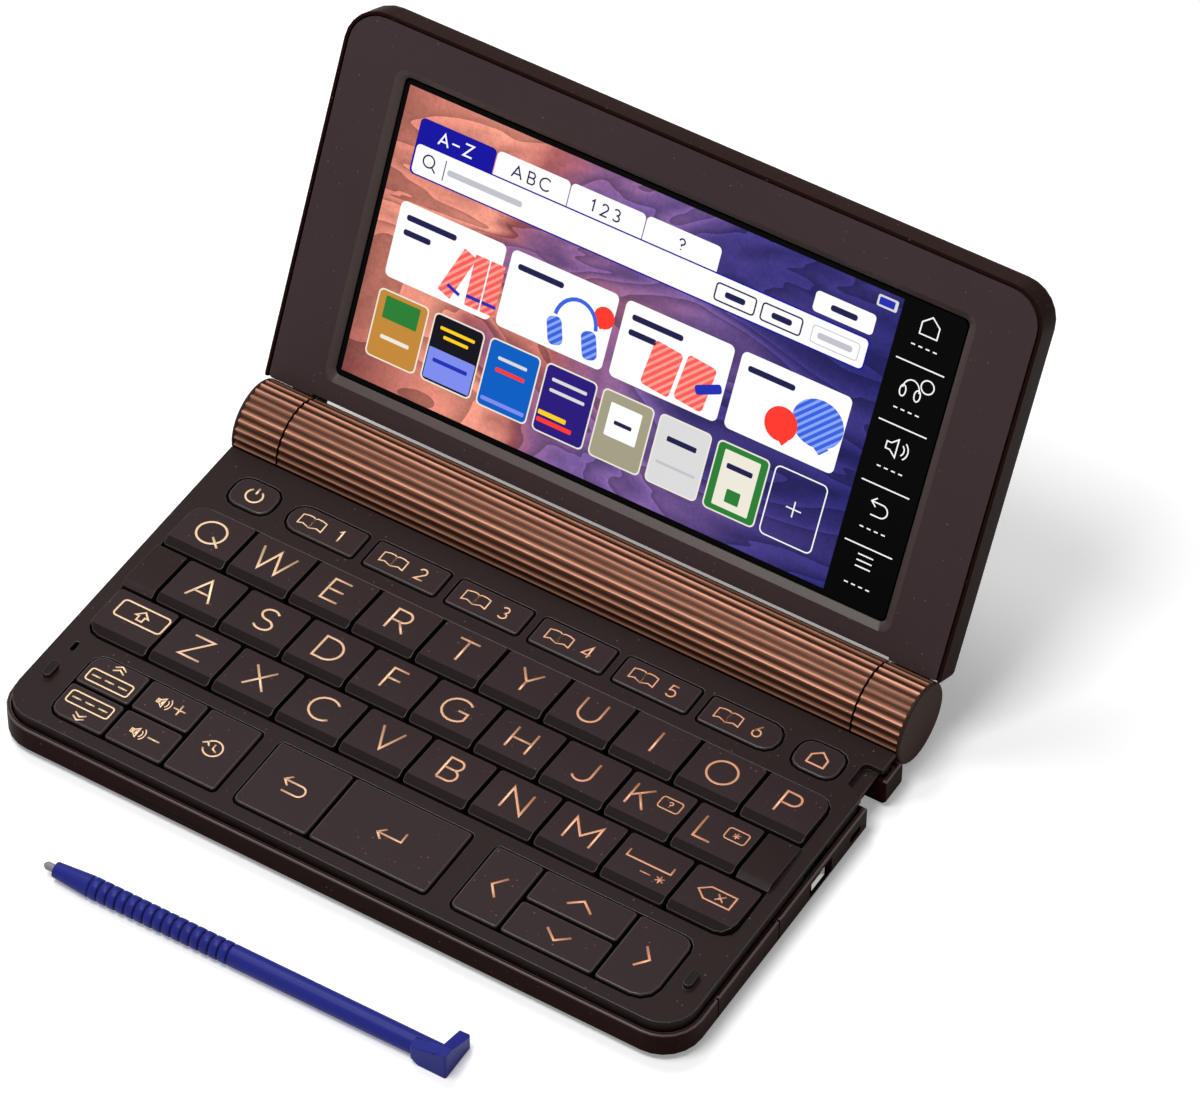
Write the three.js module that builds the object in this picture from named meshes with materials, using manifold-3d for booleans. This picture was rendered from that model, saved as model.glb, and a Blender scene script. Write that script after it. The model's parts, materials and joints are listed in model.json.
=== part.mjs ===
// A clamshell electronic dictionary with its stylus, in millimetres, +Z up, +X to the right, +Y to the hinge.
// The origin is the centre of the case's flat underside.
// The lid stands open, and the stylus lies on the table in front.
import * as THREE from "three";
import { mergeVertices } from "three/addons/utils/BufferGeometryUtils.js";
import Module from "manifold-3d";

const wasm = await Module();
wasm.setup();

// Body
const BODY_WIDTH = 148.5;
const BODY_DEPTH = 95;
const FOOT_HEIGHT = 0.8;
const SEAT_GAP = 0.3; // between fixed pieces that touch
const MOVING_GAP = 0.4; // beside pieces that move
const CUT_OVERRUN = 1; // a cutter reaches past the face that it opens
const WELD = 0.2; // joined shapes run into each other
const CORNER_STEPS = 3;
const WIDE_CORNER_STEPS = 6;
const ROUND_END_SHARE = 0.95; // a round end's corners stop just short of each other
const half = BODY_WIDTH / 2;
const front = -BODY_DEPTH / 2;

// Barrel along the hinge, with the lid's turning ends
const BARREL_RADIUS = 8.2;
const BARREL_WALL = 0.9;
const BARREL_END_WALL = 1.2;
const BARREL_END_LENGTH = 10.15;
const BARREL_END_INSET = 0.8; // from the case's side to the end's face
const BARREL_LIFT = 0.3; // above the case's underside
const BARREL_BACK_INSET = 0.1; // from the closed case's back
const FLUTES = 28;
const FLUTE_DEPTH = 0.35;
const FLUTE_STEPS = 4;
const BORE_SIDES = 36;
const END_DISC_THICKNESS = 0.85;
const END_DISC_CHAMFER = 0.3;
const SHAFT_RADIUS = 2.5;
const SHAFT_REACH = 2.6;
const SHAFT_SIDES = 20;
const HINGE_Y = BODY_DEPTH / 2 - BARREL_BACK_INSET - BARREL_RADIUS;
const HINGE_Z = BARREL_RADIUS + BARREL_LIFT;
const barrelEndFace = half - BARREL_END_INSET;
const barrelEndStart = barrelEndFace - BARREL_END_LENGTH;
const barrelHalf = barrelEndStart - MOVING_GAP;
const boreRadius = BARREL_RADIUS - BARREL_WALL;

// Two AA cells in the barrel, end to end, with their contacts' room beyond them
const CONTACT_ROOM = 11.2;
const CELL_NUB_RADIUS = 2.75;
const CELL_NUB_LENGTH = 1;
const cellRadius = boreRadius - SEAT_GAP;
const cellLength = barrelHalf - BARREL_END_WALL - CONTACT_ROOM;

// Lower case
const CASE_HEIGHT = 6.05;
const CASE_WALL = 0.95;
const CASE_FLOOR = 1.2;
const CASE_FRONT_RADIUS = 8;
const CASE_REAR_RADIUS = 1.5;
const CASE_CHAMFER = 0.7;
const CASE_REAR_LAP = 1.5; // the rear edge under the barrel's front
const CASE_REAR_WALL = 3.1;
const CASE_LEDGE_WIDTH = 1.5;
const CASE_LEDGE_HEIGHT = 3.15;
const SADDLE_INSET = 0.5; // from the barrel's end to the saddle's
const SADDLE_DEPTH = 4;
const SADDLE_HEIGHT = 4;
const FRONT_FOOT = { inset: 12.25, setback: 9.5, radius: 3.5 };
const REAR_FOOT = { inset: 24.25, overhang: 1.1, radius: 2.7 };
const FOOT_SIDES = 20;
const caseRear = HINGE_Y - BARREL_RADIUS + CASE_REAR_LAP;
const cavityRear = caseRear - CASE_REAR_WALL;
const saddleHalf = barrelHalf - SADDLE_INSET;

// Stylus, along its own axis from the tip, and where it lies
const STYLUS_RADIUS = 2.15;
const STYLUS_LIE_X = -47.3;
const STYLUS_LIE_AHEAD = 21.3; // in front of the case
const STYLUS_SLANT_DEGREES = 0.7;
const STYLUS_SIDES = 16;
const TIP_RADIUS = 0.8;
const TIP_ROD = 6.5;
const TIP_FREE = 2.7;
const TIP_SIDES = 12;
const COLLAR_NOSE = 1.55;
const COLLAR_LENGTH = 7.6;
const GRIP_RINGS = 15;
const GRIP_PITCH = 2;
const GRIP_GROOVE = 0.3;
const SHAFT_LENGTH = 39.5; // from the grip to the head
const HEAD_LENGTH = 7.6;
const HEAD_FRONT = 2.7; // in front of the stylus's axis
const HEAD_BACK = 0.3; // short of the axis
const HEAD_START_TOP = 2.4; // above the axis
const HEAD_END_TOP = 4.05;
const HEAD_TOE = 1.6; // the underside's slant at the head's start
const ARM_REACH = 5.9;
const ARM_THICKNESS = 2.4;
const ARM_END_TOP = 1.25;
const HEAD_CORNER_RADIUS = 0.6;
const gripStart = TIP_FREE + COLLAR_LENGTH;
const gripEnd = gripStart + GRIP_RINGS * GRIP_PITCH;
const headStart = gripEnd + SHAFT_LENGTH;
const headEnd = headStart + HEAD_LENGTH;

// Stylus channel in the case, and the notch that it opens into
const CHANNEL_TO_HINGE = 17.3;
const CHANNEL_BORE = 4.8;
const CHANNEL_WALL = 0.8;
const CHANNEL_CEILING = 0.6;
const CHANNEL_STOP_WALL = 1.5;
const CHANNEL_SPARE = 5.1; // the bore runs on past the tip
const NOTCH_REACH = 4.35; // from the case's side inwards
const NOTCH_LENGTH = 7;
const NOTCH_WALL = 1.4;
const NOTCH_BLOCK_REACH = 6.55;
const CHANNEL_Y = HINGE_Y - CHANNEL_TO_HINGE;
const notchInnerX = half - NOTCH_REACH;
const notchBlockX = half - NOTCH_BLOCK_REACH;
const channelStop = notchInnerX - headStart - CHANNEL_SPARE;

// Deck with the key openings: the scoop and the shelf lie over the notch
const DECK_TOP = 8.3;
const DECK_THICKNESS = 1.3;
const DECK_SKIRT = 1;
const DECK_REAR_RADIUS = 0.6;
const SHELF_REACH = 6.25; // from the case's side inwards
const SHELF_OUTER_REACH = 2.05;
const SHELF_MARGIN = 1.1; // beyond the notch, front and rear
const SHELF_BOTTOM = 6.1;
const SHELF_TOP = 6.9;
const SCOOP_REACH = 5.05;
const SCOOP_SLANT = 1.7;
const SCOOP_SLANT_RUN = 2.9;
const SCOOP_FRONT = 3.7; // from the channel's axis
const SCOOP_REAR = 4;
const SCOOP_ARCH = 1.1;
const BUMP = { inset: 5.2, setback: 12.65, width: 1.8, length: 4, height: 1.2 };
const MIC_SLOT = { inset: 5.25, setback: 20.2, width: 0.9, length: 2.5 };
const deckBottom = DECK_TOP - DECK_THICKNESS;

// Function row, then the clusters, with the three letter rows in the room between them
const KEY_BOTTOM = 5.85;
const KEY_CHAMFER = 0.25;
const FUNCTION_KEYS = 6;
const FUNCTION_MARGIN = 20.5; // from the case's side to the row of six
const FUNCTION_GAP = 2.3;
const FUNCTION_DEPTH = 6.9;
const FUNCTION_TO_HINGE = 14;
const FUNCTION_TOP = 8.6;
const FUNCTION_BOTTOM = 7.55;
const FUNCTION_RADIUS = 0.7;
const FUNCTION_END_RADIUS = 3;
const ROUND_KEY = { inset: 12.35, width: 9.5, depth: 7.4, radius: 2.6 };
const CLUSTER_TOP = 8.8;
const CLUSTER_MARGIN = 4.4; // from the case's front
const CLUSTER_DEPTH = 16.4;
const CLUSTER_UPPER_DEPTH = 8.05;
const CLUSTER_GAP = 0.6;
const CLUSTER_RADIUS = 0.7;
const CLUSTER_OUTER_RADIUS = 2.5;
const CLUSTER_WIDE_RADIUS = 4;
const CLUSTER_SMALL_RADIUS = 1.4;
const CLUSTER_LETTER_GAP = 3.6;
const LETTER_FUNCTION_GAP = 3.85;
const LETTER_MARGIN = 4.25; // from the case's side
const LETTER_GAP = 0.85;
const ROW_GAP = 0.87;
const LETTER_BEVEL_DEPTH = 1.68;
const LETTER_BACK_TOP = 8.96;
const LETTER_FRONT_TOP = 9.6;
const LETTER_BEVEL_FOOT = 8.76;
const LETTER_RADIUS = 0.6;
const LETTER_CORNER_RADIUS = 3;
const LEFT_CLUSTER_SHARES = [-0.866, -0.699, -0.524, -0.364];
const MIDDLE_CLUSTER_SHARES = [-0.319, -0.096, 0.249];
const RIGHT_CLUSTER_SHARES = [0.31, 0.454, 0.72, 0.882];
const functionBack = HINGE_Y - FUNCTION_TO_HINGE;
const functionFront = functionBack - FUNCTION_DEPTH;
const clusterFront = front + CLUSTER_MARGIN;
const clusterBack = clusterFront + CLUSTER_DEPTH;
const clusterSplit = clusterBack - CLUSTER_UPPER_DEPTH;
const lettersFront = clusterBack + CLUSTER_LETTER_GAP;
const lettersBack = functionFront - LETTER_FUNCTION_GAP;
const LETTER_ROWS = [
  ["q", "w", "e", "r", "t", "y", "u", "i", "o", "p"],
  ["a", "s", "d", "f", "g", "h", "j", "k", "l"],
  ["shift", "z", "x", "c", "v", "b", "n", "m", "space", "delete"],
];
const letterPitch = (BODY_WIDTH - 2 * LETTER_MARGIN) / LETTER_ROWS[0].length;
const rowPitch = (lettersBack - lettersFront + ROW_GAP) / LETTER_ROWS.length;
const letterDepth = rowPitch - ROW_GAP;

// Circuit board with its connector, and what shows on the case's right side
const BOARD_INSET = 5.25;
const BOARD_FRONT_INSET = 3.5;
const BOARD_TO_CHANNEL = 5;
const BOARD_BOTTOM = 3.9;
const BOARD_THICKNESS = 1;
const POST_RADIUS = 2.4;
const POST_SIDES = 10;
const POST_SIDE_INSET = 11;
const POST_END_INSET = 7;
const CONNECTOR_TO_HINGE = 40.5;
const CONNECTOR = { width: 4.6, height: 2.2, depth: 6, wall: 0.4, socket: 3.6 };
const PORT_FRONT = 0.7; // beyond the connector
const PORT_REAR = 2.5;
const PORT_BOTTOM = 1.3;
const PORT_TOP = 4.9;
const SIDE_SLOT = { toHinge: 26.9, length: 4, height: 1.6, z: 2.7 };
const COVER_SEAMS_FROM_FRONT = [13.5, 34.65];
const SEAM_WIDTH = 0.35;
const SEAM_DEPTH = 0.35;
const boardFront = front + BOARD_FRONT_INSET;
const boardBack = CHANNEL_Y - BOARD_TO_CHANNEL;
const boardHalf = half - BOARD_INSET;
const connectorFront = HINGE_Y - CONNECTOR_TO_HINGE;
const portY = [connectorFront - PORT_FRONT, connectorFront + CONNECTOR.width + PORT_REAR];

// Lid, in its own frame: X along the hinge, Y away from it, Z out of the screen, origin on the hinge axis
const LID_OPEN_DEGREES = 115.4;
const LID_FRONT = -1.45;
const LID_THICKNESS = 7.4;
const LID_BARREL_GAP = 0.72;
const LID_EAR_LAP = 0.9; // past the barrel's crown
const LID_EAR_RADIUS = 1.8;
const LID_LOWER = BARREL_RADIUS + LID_BARREL_GAP;
const LID_EAR_LOWER = BARREL_RADIUS - LID_EAR_LAP;
const LID_TOP = HINGE_Y - front;
const LID_CORNER_RADIUS = 7.6;
const LID_BACK_RADIUS = 1.8;
const LID_BACK_WALL = 1.3;
const LID_RIM = 0.65;
const LID_INNER_ROUND = 1.1;
const LID_BACK_STEPS = 4;
const EAR_BLEND_INSET = 4.5; // from the lid's side
const EAR_BLEND_LAP = 3.8;
const EAR_BLEND_LOWER = BARREL_RADIUS - EAR_BLEND_LAP;
const EAR_BLEND_RISE = 0.35;
const EAR_BLEND_RUN = 2;
const FRAME_THICKNESS = 1.4;
const FRAME_TAB_GAP = 0.2;
const FRAME_TAB_LOWER = BARREL_RADIUS + FRAME_TAB_GAP;
const POCKET_SIDE = 12.25; // from the lid's side, lower edge and top
const POCKET_FOOT = 3.97;
const POCKET_HEAD = 8.85;
const POCKET_RADIUS = 2.2;
const POCKET_FLOOR_RADIUS = 1.2;
const POCKET_SLOPE = 1.7;
const POCKET_SLOPE_ENDS = 1.48;
const POCKET_DEPTH = 1;
const PANEL_THICKNESS = 1.8;
const PANEL_SINK = 0.05;
const RIB_SHARES = [-0.54, 0, 0.54];
const RIB_THICKNESS = 1.2;
const pocketHalf = half - POCKET_SIDE;
const pocketLower = LID_LOWER + POCKET_FOOT;
const pocketUpper = LID_TOP - POCKET_HEAD;

// Materials
function plastic(color, roughness, metalness) {
  return new THREE.MeshStandardMaterial({ color, roughness, metalness });
}
const CASE_MATERIAL = plastic(0x241818, 0.4, 0);
const DECK_MATERIAL = plastic(0x2e2525, 0.42, 0);
const KEY_MATERIAL = plastic(0x3d3334, 0.45, 0);
const BARREL_MATERIAL = plastic(0xa8704f, 0.32, 0.85);
const BEZEL_MATERIAL = plastic(0x342b2d, 0.4, 0);
const GLASS_MATERIAL = plastic(0x0b0b0e, 0.1, 0);
const BOARD_MATERIAL = plastic(0x2c5138, 0.6, 0);
const CELL_MATERIAL = plastic(0x8a8d90, 0.4, 0.7);
const STYLUS_MATERIAL = plastic(0x2a2f8a, 0.35, 0);
const TIP_MATERIAL = plastic(0x9a9aa0, 0.5, 0);

// A closed three.js geometry as a solid that can be joined and cut
function solid(geometry) {
  const bare = geometry.index ? geometry.toNonIndexed() : geometry.clone();
  bare.deleteAttribute("normal");
  bare.deleteAttribute("uv");
  const merged = mergeVertices(bare);
  const vertProperties = merged.attributes.position.array;
  const triVerts = new Uint32Array(merged.index.array);
  return new wasm.Manifold(new wasm.Mesh({ numProp: 3, vertProperties, triVerts }));
}

function box(x0, x1, y0, y1, z0, z1) {
  const geometry = new THREE.BoxGeometry(x1 - x0, y1 - y0, z1 - z0);
  return solid(geometry.translate((x0 + x1) / 2, (y0 + y1) / 2, (z0 + z1) / 2));
}

// A flat outline, as a list of Vector2, pushed up from z0 to z1
function prism(outline, z0, z1) {
  const settings = { depth: z1 - z0, bevelEnabled: false };
  return solid(new THREE.ExtrudeGeometry(new THREE.Shape(outline), settings).translate(0, 0, z0));
}

// A YZ outline pushed along X from x0 to x1
function prismAlongX(outline, x0, x1) {
  const settings = { depth: x1 - x0, bevelEnabled: false };
  const geometry = new THREE.ExtrudeGeometry(new THREE.Shape(outline), settings);
  const turn = new THREE.Matrix4().makeBasis(
    new THREE.Vector3(0, 1, 0),
    new THREE.Vector3(0, 0, 1),
    new THREE.Vector3(1, 0, 0),
  );
  return solid(geometry.applyMatrix4(turn).translate(x0, 0, 0));
}

function cylinderUp(radius, x, y, z0, z1, sides) {
  const geometry = new THREE.CylinderGeometry(radius, radius, z1 - z0, sides);
  return solid(geometry.rotateX(Math.PI / 2).translate(x, y, (z0 + z1) / 2));
}

function cylinderAlongX(radius, x0, x1, y, z, sides) {
  const geometry = new THREE.CylinderGeometry(radius, radius, x1 - x0, sides);
  return solid(geometry.rotateZ(Math.PI / 2).translate((x0 + x1) / 2, y, z));
}

// A profile of [distance along X, radius] pairs turned about the X axis
function turned(profile, sides) {
  const points = profile.map(([along, radius]) => new THREE.Vector2(radius, along));
  return solid(new THREE.LatheGeometry(points, sides).rotateZ(-Math.PI / 2));
}

// A rectangle with a radius of its own at each corner: front left, front right, back right, back left
function roundedRectangle(x0, x1, y0, y1, radii, steps = CORNER_STEPS) {
  const corners = [
    [x0, y0, 1, 1, Math.PI],
    [x1, y0, -1, 1, 1.5 * Math.PI],
    [x1, y1, -1, -1, 0],
    [x0, y1, 1, -1, Math.PI / 2],
  ];
  return corners.flatMap(([x, y, towardX, towardY, start], corner) => {
    const radius = radii[corner];
    const centre = new THREE.Vector2(x + towardX * radius, y + towardY * radius);
    return Array.from({ length: steps + 1 }, (_, step) => {
      const angle = start + (step / steps) * (Math.PI / 2);
      const arm = new THREE.Vector2(Math.cos(angle), Math.sin(angle));
      return arm.multiplyScalar(radius).add(centre);
    });
  });
}

// A body through stacked outlines of equally many points, from the lowest to the highest
function loft(layers) {
  const count = layers[0].outline.length;
  const positions = layers.flatMap(({ outline, z }) => outline.flatMap((p) => [p.x, p.y, z]));
  const faces = [];
  for (let layer = 0; layer + 1 < layers.length; layer++) {
    for (let point = 0; point < count; point++) {
      const next = (point + 1) % count;
      const [a, b] = [layer * count + point, layer * count + next];
      faces.push(a, b, b + count, a, b + count, a + count);
    }
  }
  const last = (layers.length - 1) * count;
  for (const [a, b, c] of THREE.ShapeUtils.triangulateShape(layers[0].outline, [])) {
    faces.push(a, c, b);
  }
  for (const [a, b, c] of THREE.ShapeUtils.triangulateShape(layers.at(-1).outline, [])) {
    faces.push(last + a, last + b, last + c);
  }
  const geometry = new THREE.BufferGeometry();
  geometry.setAttribute("position", new THREE.Float32BufferAttribute(positions, 3));
  return solid(geometry.setIndex(faces));
}

// A solid as a named mesh, flat shaded, in a group
function place(group, name, made, material) {
  const { vertProperties, triVerts } = made.getMesh();
  const indexed = new THREE.BufferGeometry();
  indexed.setAttribute("position", new THREE.Float32BufferAttribute(vertProperties, 3));
  const geometry = indexed.setIndex(Array.from(triVerts)).toNonIndexed();
  geometry.computeVertexNormals();
  const mesh = new THREE.Mesh(geometry, material);
  mesh.name = name;
  group.add(mesh);
}

const dictionary = new THREE.Group();
const seatedBarrel = BARREL_RADIUS + SEAT_GAP;
const turningBarrel = BARREL_RADIUS + MOVING_GAP;

// The barrel's outline: scooped flutes side by side, the crests sharp
function flutedOutline(radius, turn) {
  return Array.from({ length: FLUTES * FLUTE_STEPS }, (_, index) => {
    const angle = turn + (index / (FLUTES * FLUTE_STEPS)) * 2 * Math.PI;
    const across = (index % FLUTE_STEPS) / FLUTE_STEPS;
    const depth = FLUTE_DEPTH * Math.sin(Math.PI * across);
    const arm = new THREE.Vector2(Math.cos(angle), Math.sin(angle));
    return arm.multiplyScalar(radius - depth);
  });
}

// Lower case: a shell with a chamfered underside, a ledge for the deck's skirt and a saddle for the barrel
function caseOutline(inset, rear) {
  const frontRadius = CASE_FRONT_RADIUS - inset;
  const rearRadius = Math.max(CASE_REAR_RADIUS - inset, WELD);
  const radii = [frontRadius, frontRadius, rearRadius, rearRadius];
  return roundedRectangle(-half + inset, half - inset, front + inset, rear, radii, WIDE_CORNER_STEPS);
}

const channelTop = CASE_FLOOR + CHANNEL_BORE;
const channelHalf = CHANNEL_BORE / 2;
const notchHalf = NOTCH_LENGTH / 2;
const notchBlockTop = SHELF_BOTTOM - SEAT_GAP;
const ledgeInset = CASE_WALL + CASE_LEDGE_WIDTH;

function lowerCase() {
  let made = loft([
    { outline: caseOutline(CASE_CHAMFER, caseRear - CASE_CHAMFER), z: 0 },
    { outline: caseOutline(0, caseRear), z: CASE_CHAMFER },
    { outline: caseOutline(0, caseRear), z: CASE_HEIGHT },
  ]);
  const cavityTop = CASE_HEIGHT + CUT_OVERRUN;
  made = made.subtract(prism(caseOutline(ledgeInset, cavityRear), CASE_FLOOR, cavityTop));
  made = made.subtract(prism(caseOutline(CASE_WALL, cavityRear), CASE_LEDGE_HEIGHT, cavityTop));

  // Saddle under the barrel, then the round cuts that the barrel lies in
  const saddleRear = caseRear + SADDLE_DEPTH;
  made = made.add(box(-saddleHalf, saddleHalf, cavityRear + WELD, saddleRear, 0, SADDLE_HEIGHT));
  made = made.subtract(
    cylinderAlongX(seatedBarrel, -saddleHalf - WELD, saddleHalf + WELD, HINGE_Y, HINGE_Z, BORE_SIDES),
  );
  for (const side of [-1, 1]) {
    const [near, far] = [side * saddleHalf, side * (half + CUT_OVERRUN)].sort((a, b) => a - b);
    made = made.subtract(cylinderAlongX(turningBarrel, near, far, HINGE_Y, HINGE_Z, BORE_SIDES));
  }

  // Stylus channel and the block round the notch, both hollowed
  made = made.add(
    box(
      channelStop - CHANNEL_STOP_WALL,
      notchBlockX,
      CHANNEL_Y - channelHalf - CHANNEL_WALL,
      CHANNEL_Y + channelHalf + CHANNEL_WALL,
      CASE_FLOOR - WELD,
      channelTop + CHANNEL_CEILING,
    ),
  );
  made = made.add(
    box(
      notchBlockX - WELD,
      half - WELD,
      CHANNEL_Y - notchHalf - NOTCH_WALL,
      CHANNEL_Y + notchHalf + NOTCH_WALL,
      CASE_FLOOR - WELD,
      notchBlockTop,
    ),
  );
  made = made.subtract(
    box(
      channelStop,
      notchInnerX + WELD,
      CHANNEL_Y - channelHalf,
      CHANNEL_Y + channelHalf,
      CASE_FLOOR,
      channelTop,
    ),
  );
  made = made.subtract(
    box(
      notchInnerX,
      half + CUT_OVERRUN,
      CHANNEL_Y - notchHalf,
      CHANNEL_Y + notchHalf,
      -CUT_OVERRUN,
      cavityTop,
    ),
  );

  // Board posts and feet
  const postTop = BOARD_BOTTOM - SEAT_GAP;
  for (const x of [POST_SIDE_INSET - boardHalf, 0, boardHalf - POST_SIDE_INSET]) {
    for (const y of [boardFront + POST_END_INSET, boardBack - POST_END_INSET]) {
      made = made.add(cylinderUp(POST_RADIUS, x, y, CASE_FLOOR - WELD, postTop, POST_SIDES));
    }
  }
  const feet = [
    [half - FRONT_FOOT.inset, front + FRONT_FOOT.setback, FRONT_FOOT.radius],
    [half - REAR_FOOT.inset, caseRear + REAR_FOOT.overhang, REAR_FOOT.radius],
  ];
  for (const side of [-1, 1]) {
    for (const [x, y, radius] of feet) {
      made = made.add(cylinderUp(radius, side * x, y, -FOOT_HEIGHT, WELD, FOOT_SIDES));
    }
  }

  // Right side: connector port, oval slot and the two seams of a side cover
  const portInner = half - ledgeInset - CUT_OVERRUN;
  made = made.subtract(box(portInner, half + CUT_OVERRUN, ...portY, PORT_BOTTOM, PORT_TOP));
  const slotFront = HINGE_Y - SIDE_SLOT.toHinge;
  const slot = roundedRectangle(
    slotFront,
    slotFront + SIDE_SLOT.length,
    SIDE_SLOT.z - SIDE_SLOT.height / 2,
    SIDE_SLOT.z + SIDE_SLOT.height / 2,
    Array(4).fill((SIDE_SLOT.height / 2) * ROUND_END_SHARE),
  );
  made = made.subtract(prismAlongX(slot, portInner, half + CUT_OVERRUN));
  for (const y of COVER_SEAMS_FROM_FRONT.map((distance) => front + distance)) {
    made = made.subtract(
      box(
        half - SEAM_DEPTH,
        half + CUT_OVERRUN,
        y - SEAM_WIDTH / 2,
        y + SEAM_WIDTH / 2,
        CASE_CHAMFER,
        cavityTop,
      ),
    );
  }
  return made;
}

place(dictionary, "lower_case", lowerCase(), CASE_MATERIAL);

// Key caps: every cap is listed with its box, so that the deck's openings follow the same numbers
const keys = [];
const openings = [];

function openingRound(x0, x1, y0, y1, radii) {
  const gap = MOVING_GAP;
  const wider = radii.map((radius) => radius + gap);
  openings.push(roundedRectangle(x0 - gap, x1 + gap, y0 - gap, y1 + gap, wider));
}

// A flat-topped cap with a small chamfer round its top
function flatCap(x0, x1, y0, y1, bottom, top, radii) {
  const inner = radii.map((radius) => radius - KEY_CHAMFER);
  const outline = roundedRectangle(x0, x1, y0, y1, radii);
  const c = KEY_CHAMFER;
  return loft([
    { outline, z: bottom },
    { outline, z: top - c },
    { outline: roundedRectangle(x0 + c, x1 - c, y0 + c, y1 - c, inner), z: top },
  ]);
}

// A letter cap rises to its front edge and falls away there in a bevel
function letterProfile(back, bottom) {
  return [
    new THREE.Vector2(back - letterDepth, bottom),
    new THREE.Vector2(back, bottom),
    new THREE.Vector2(back, LETTER_BACK_TOP),
    new THREE.Vector2(back - letterDepth + LETTER_BEVEL_DEPTH, LETTER_FRONT_TOP),
    new THREE.Vector2(back - letterDepth, LETTER_BEVEL_FOOT),
  ];
}
function letterCap(x0, x1, back, bottom, radii) {
  const reach = CUT_OVERRUN;
  const plan = roundedRectangle(x0, x1, back - letterDepth, back, radii);
  const profile = prismAlongX(letterProfile(back, bottom), x0 - reach, x1 + reach);
  return prism(plan, bottom - reach, LETTER_FRONT_TOP + reach).intersect(profile);
}

const rowBack = (row) => lettersBack - row * rowPitch;
const wide = LETTER_CORNER_RADIUS;
const small = LETTER_RADIUS;
const OUTER_CORNERS = {
  q: [small, small, small, wide],
  p: [small, small, wide, small],
  shift: [wide, small, small, small],
  delete: [small, wide, small, small],
};
LETTER_ROWS.forEach((names, row) => {
  names.forEach((name, column) => {
    const x0 = (column - names.length / 2) * letterPitch + LETTER_GAP / 2;
    const x1 = x0 + letterPitch - LETTER_GAP;
    const radii = OUTER_CORNERS[name] ?? [small, small, small, small];
    keys.push(["key_" + name, letterCap(x0, x1, rowBack(row), KEY_BOTTOM, radii)]);
  });
});

// The letter keys' one opening is narrower in the middle row, where a half cap that doesn't move fills each end
const lettersHalf = (LETTER_ROWS[0].length / 2) * letterPitch - LETTER_GAP / 2;
const middleHalf = (LETTER_ROWS[1].length / 2) * letterPitch + LETTER_GAP / 2;
openings.push(
  roundedRectangle(
    -lettersHalf - MOVING_GAP,
    lettersHalf + MOVING_GAP,
    lettersFront - MOVING_GAP,
    lettersBack + MOVING_GAP,
    Array(4).fill(LETTER_CORNER_RADIUS + MOVING_GAP),
  ),
);

// Function row: a round key at each end and six between them
const functionHalf = half - FUNCTION_MARGIN;
const functionPitch = (2 * functionHalf + FUNCTION_GAP) / FUNCTION_KEYS;
for (let index = 0; index < FUNCTION_KEYS; index++) {
  const x0 = index * functionPitch - functionHalf;
  const x1 = x0 + functionPitch - FUNCTION_GAP;
  const leftRadius = index === 0 ? FUNCTION_END_RADIUS : FUNCTION_RADIUS;
  const rightRadius = index === FUNCTION_KEYS - 1 ? FUNCTION_END_RADIUS : FUNCTION_RADIUS;
  const radii = [leftRadius, rightRadius, rightRadius, leftRadius];
  const cap = flatCap(x0, x1, functionFront, functionBack, FUNCTION_BOTTOM, FUNCTION_TOP, radii);
  keys.push(["key_function_" + (index + 1), cap]);
  openingRound(x0, x1, functionFront, functionBack, radii);
}
for (const [name, side] of [["key_power", -1], ["key_home", 1]]) {
  const x0 = side * (half - ROUND_KEY.inset) - ROUND_KEY.width / 2;
  const x1 = x0 + ROUND_KEY.width;
  const [y0, y1] = [CHANNEL_Y - ROUND_KEY.depth / 2, CHANNEL_Y + ROUND_KEY.depth / 2];
  const radii = Array(4).fill(ROUND_KEY.radius);
  keys.push([name, flatCap(x0, x1, y0, y1, FUNCTION_BOTTOM, FUNCTION_TOP, radii)]);
  openingRound(x0, x1, y0, y1, radii);
}

// Clusters: columns of full-height and half-height keys that share one opening each
const outer = CLUSTER_OUTER_RADIUS;
const plain = CLUSTER_RADIUS;
function clusterKey(name, x0, x1, level, radii) {
  const inset = CLUSTER_GAP / 2;
  const y0 = level === "upper" ? clusterSplit + inset : clusterFront;
  const y1 = level === "lower" ? clusterSplit - inset : clusterBack;
  keys.push([name, flatCap(x0 + inset, x1 - inset, y0, y1, KEY_BOTTOM, CLUSTER_TOP, radii)]);
}
function clusterOpening(columns, radii) {
  const inset = CLUSTER_GAP / 2;
  openingRound(columns[0] + inset, columns.at(-1) - inset, clusterFront, clusterBack, radii);
}
const leftColumns = LEFT_CLUSTER_SHARES.map((share) => share * half);
const [left0, left1, left2, left3] = leftColumns;
clusterKey("key_previous", left0, left1, "upper", [plain, plain, plain, outer]);
clusterKey("key_next", left0, left1, "lower", [outer, plain, plain, plain]);
clusterKey("key_volume_up", left1, left2, "upper", Array(4).fill(plain));
clusterKey("key_volume_down", left1, left2, "lower", Array(4).fill(plain));
clusterKey("key_history", left2, left3, "full", Array(4).fill(plain));
clusterOpening(leftColumns, [outer, plain, plain, outer]);
const middleColumns = MIDDLE_CLUSTER_SHARES.map((share) => share * half);
const [middle0, middle1, middle2] = middleColumns;
const little = CLUSTER_SMALL_RADIUS;
clusterKey("key_back", middle0, middle1, "full", [little, plain, plain, plain]);
clusterKey("key_enter", middle1, middle2, "full", Array(4).fill(plain));
clusterOpening(middleColumns, [little, plain, plain, plain]);
const rightColumns = RIGHT_CLUSTER_SHARES.map((share) => share * half);
const [right0, right1, right2, right3] = rightColumns;
clusterKey("key_left", right0, right1, "full", [little, plain, plain, plain]);
clusterKey("key_up", right1, right2, "upper", Array(4).fill(plain));
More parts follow.
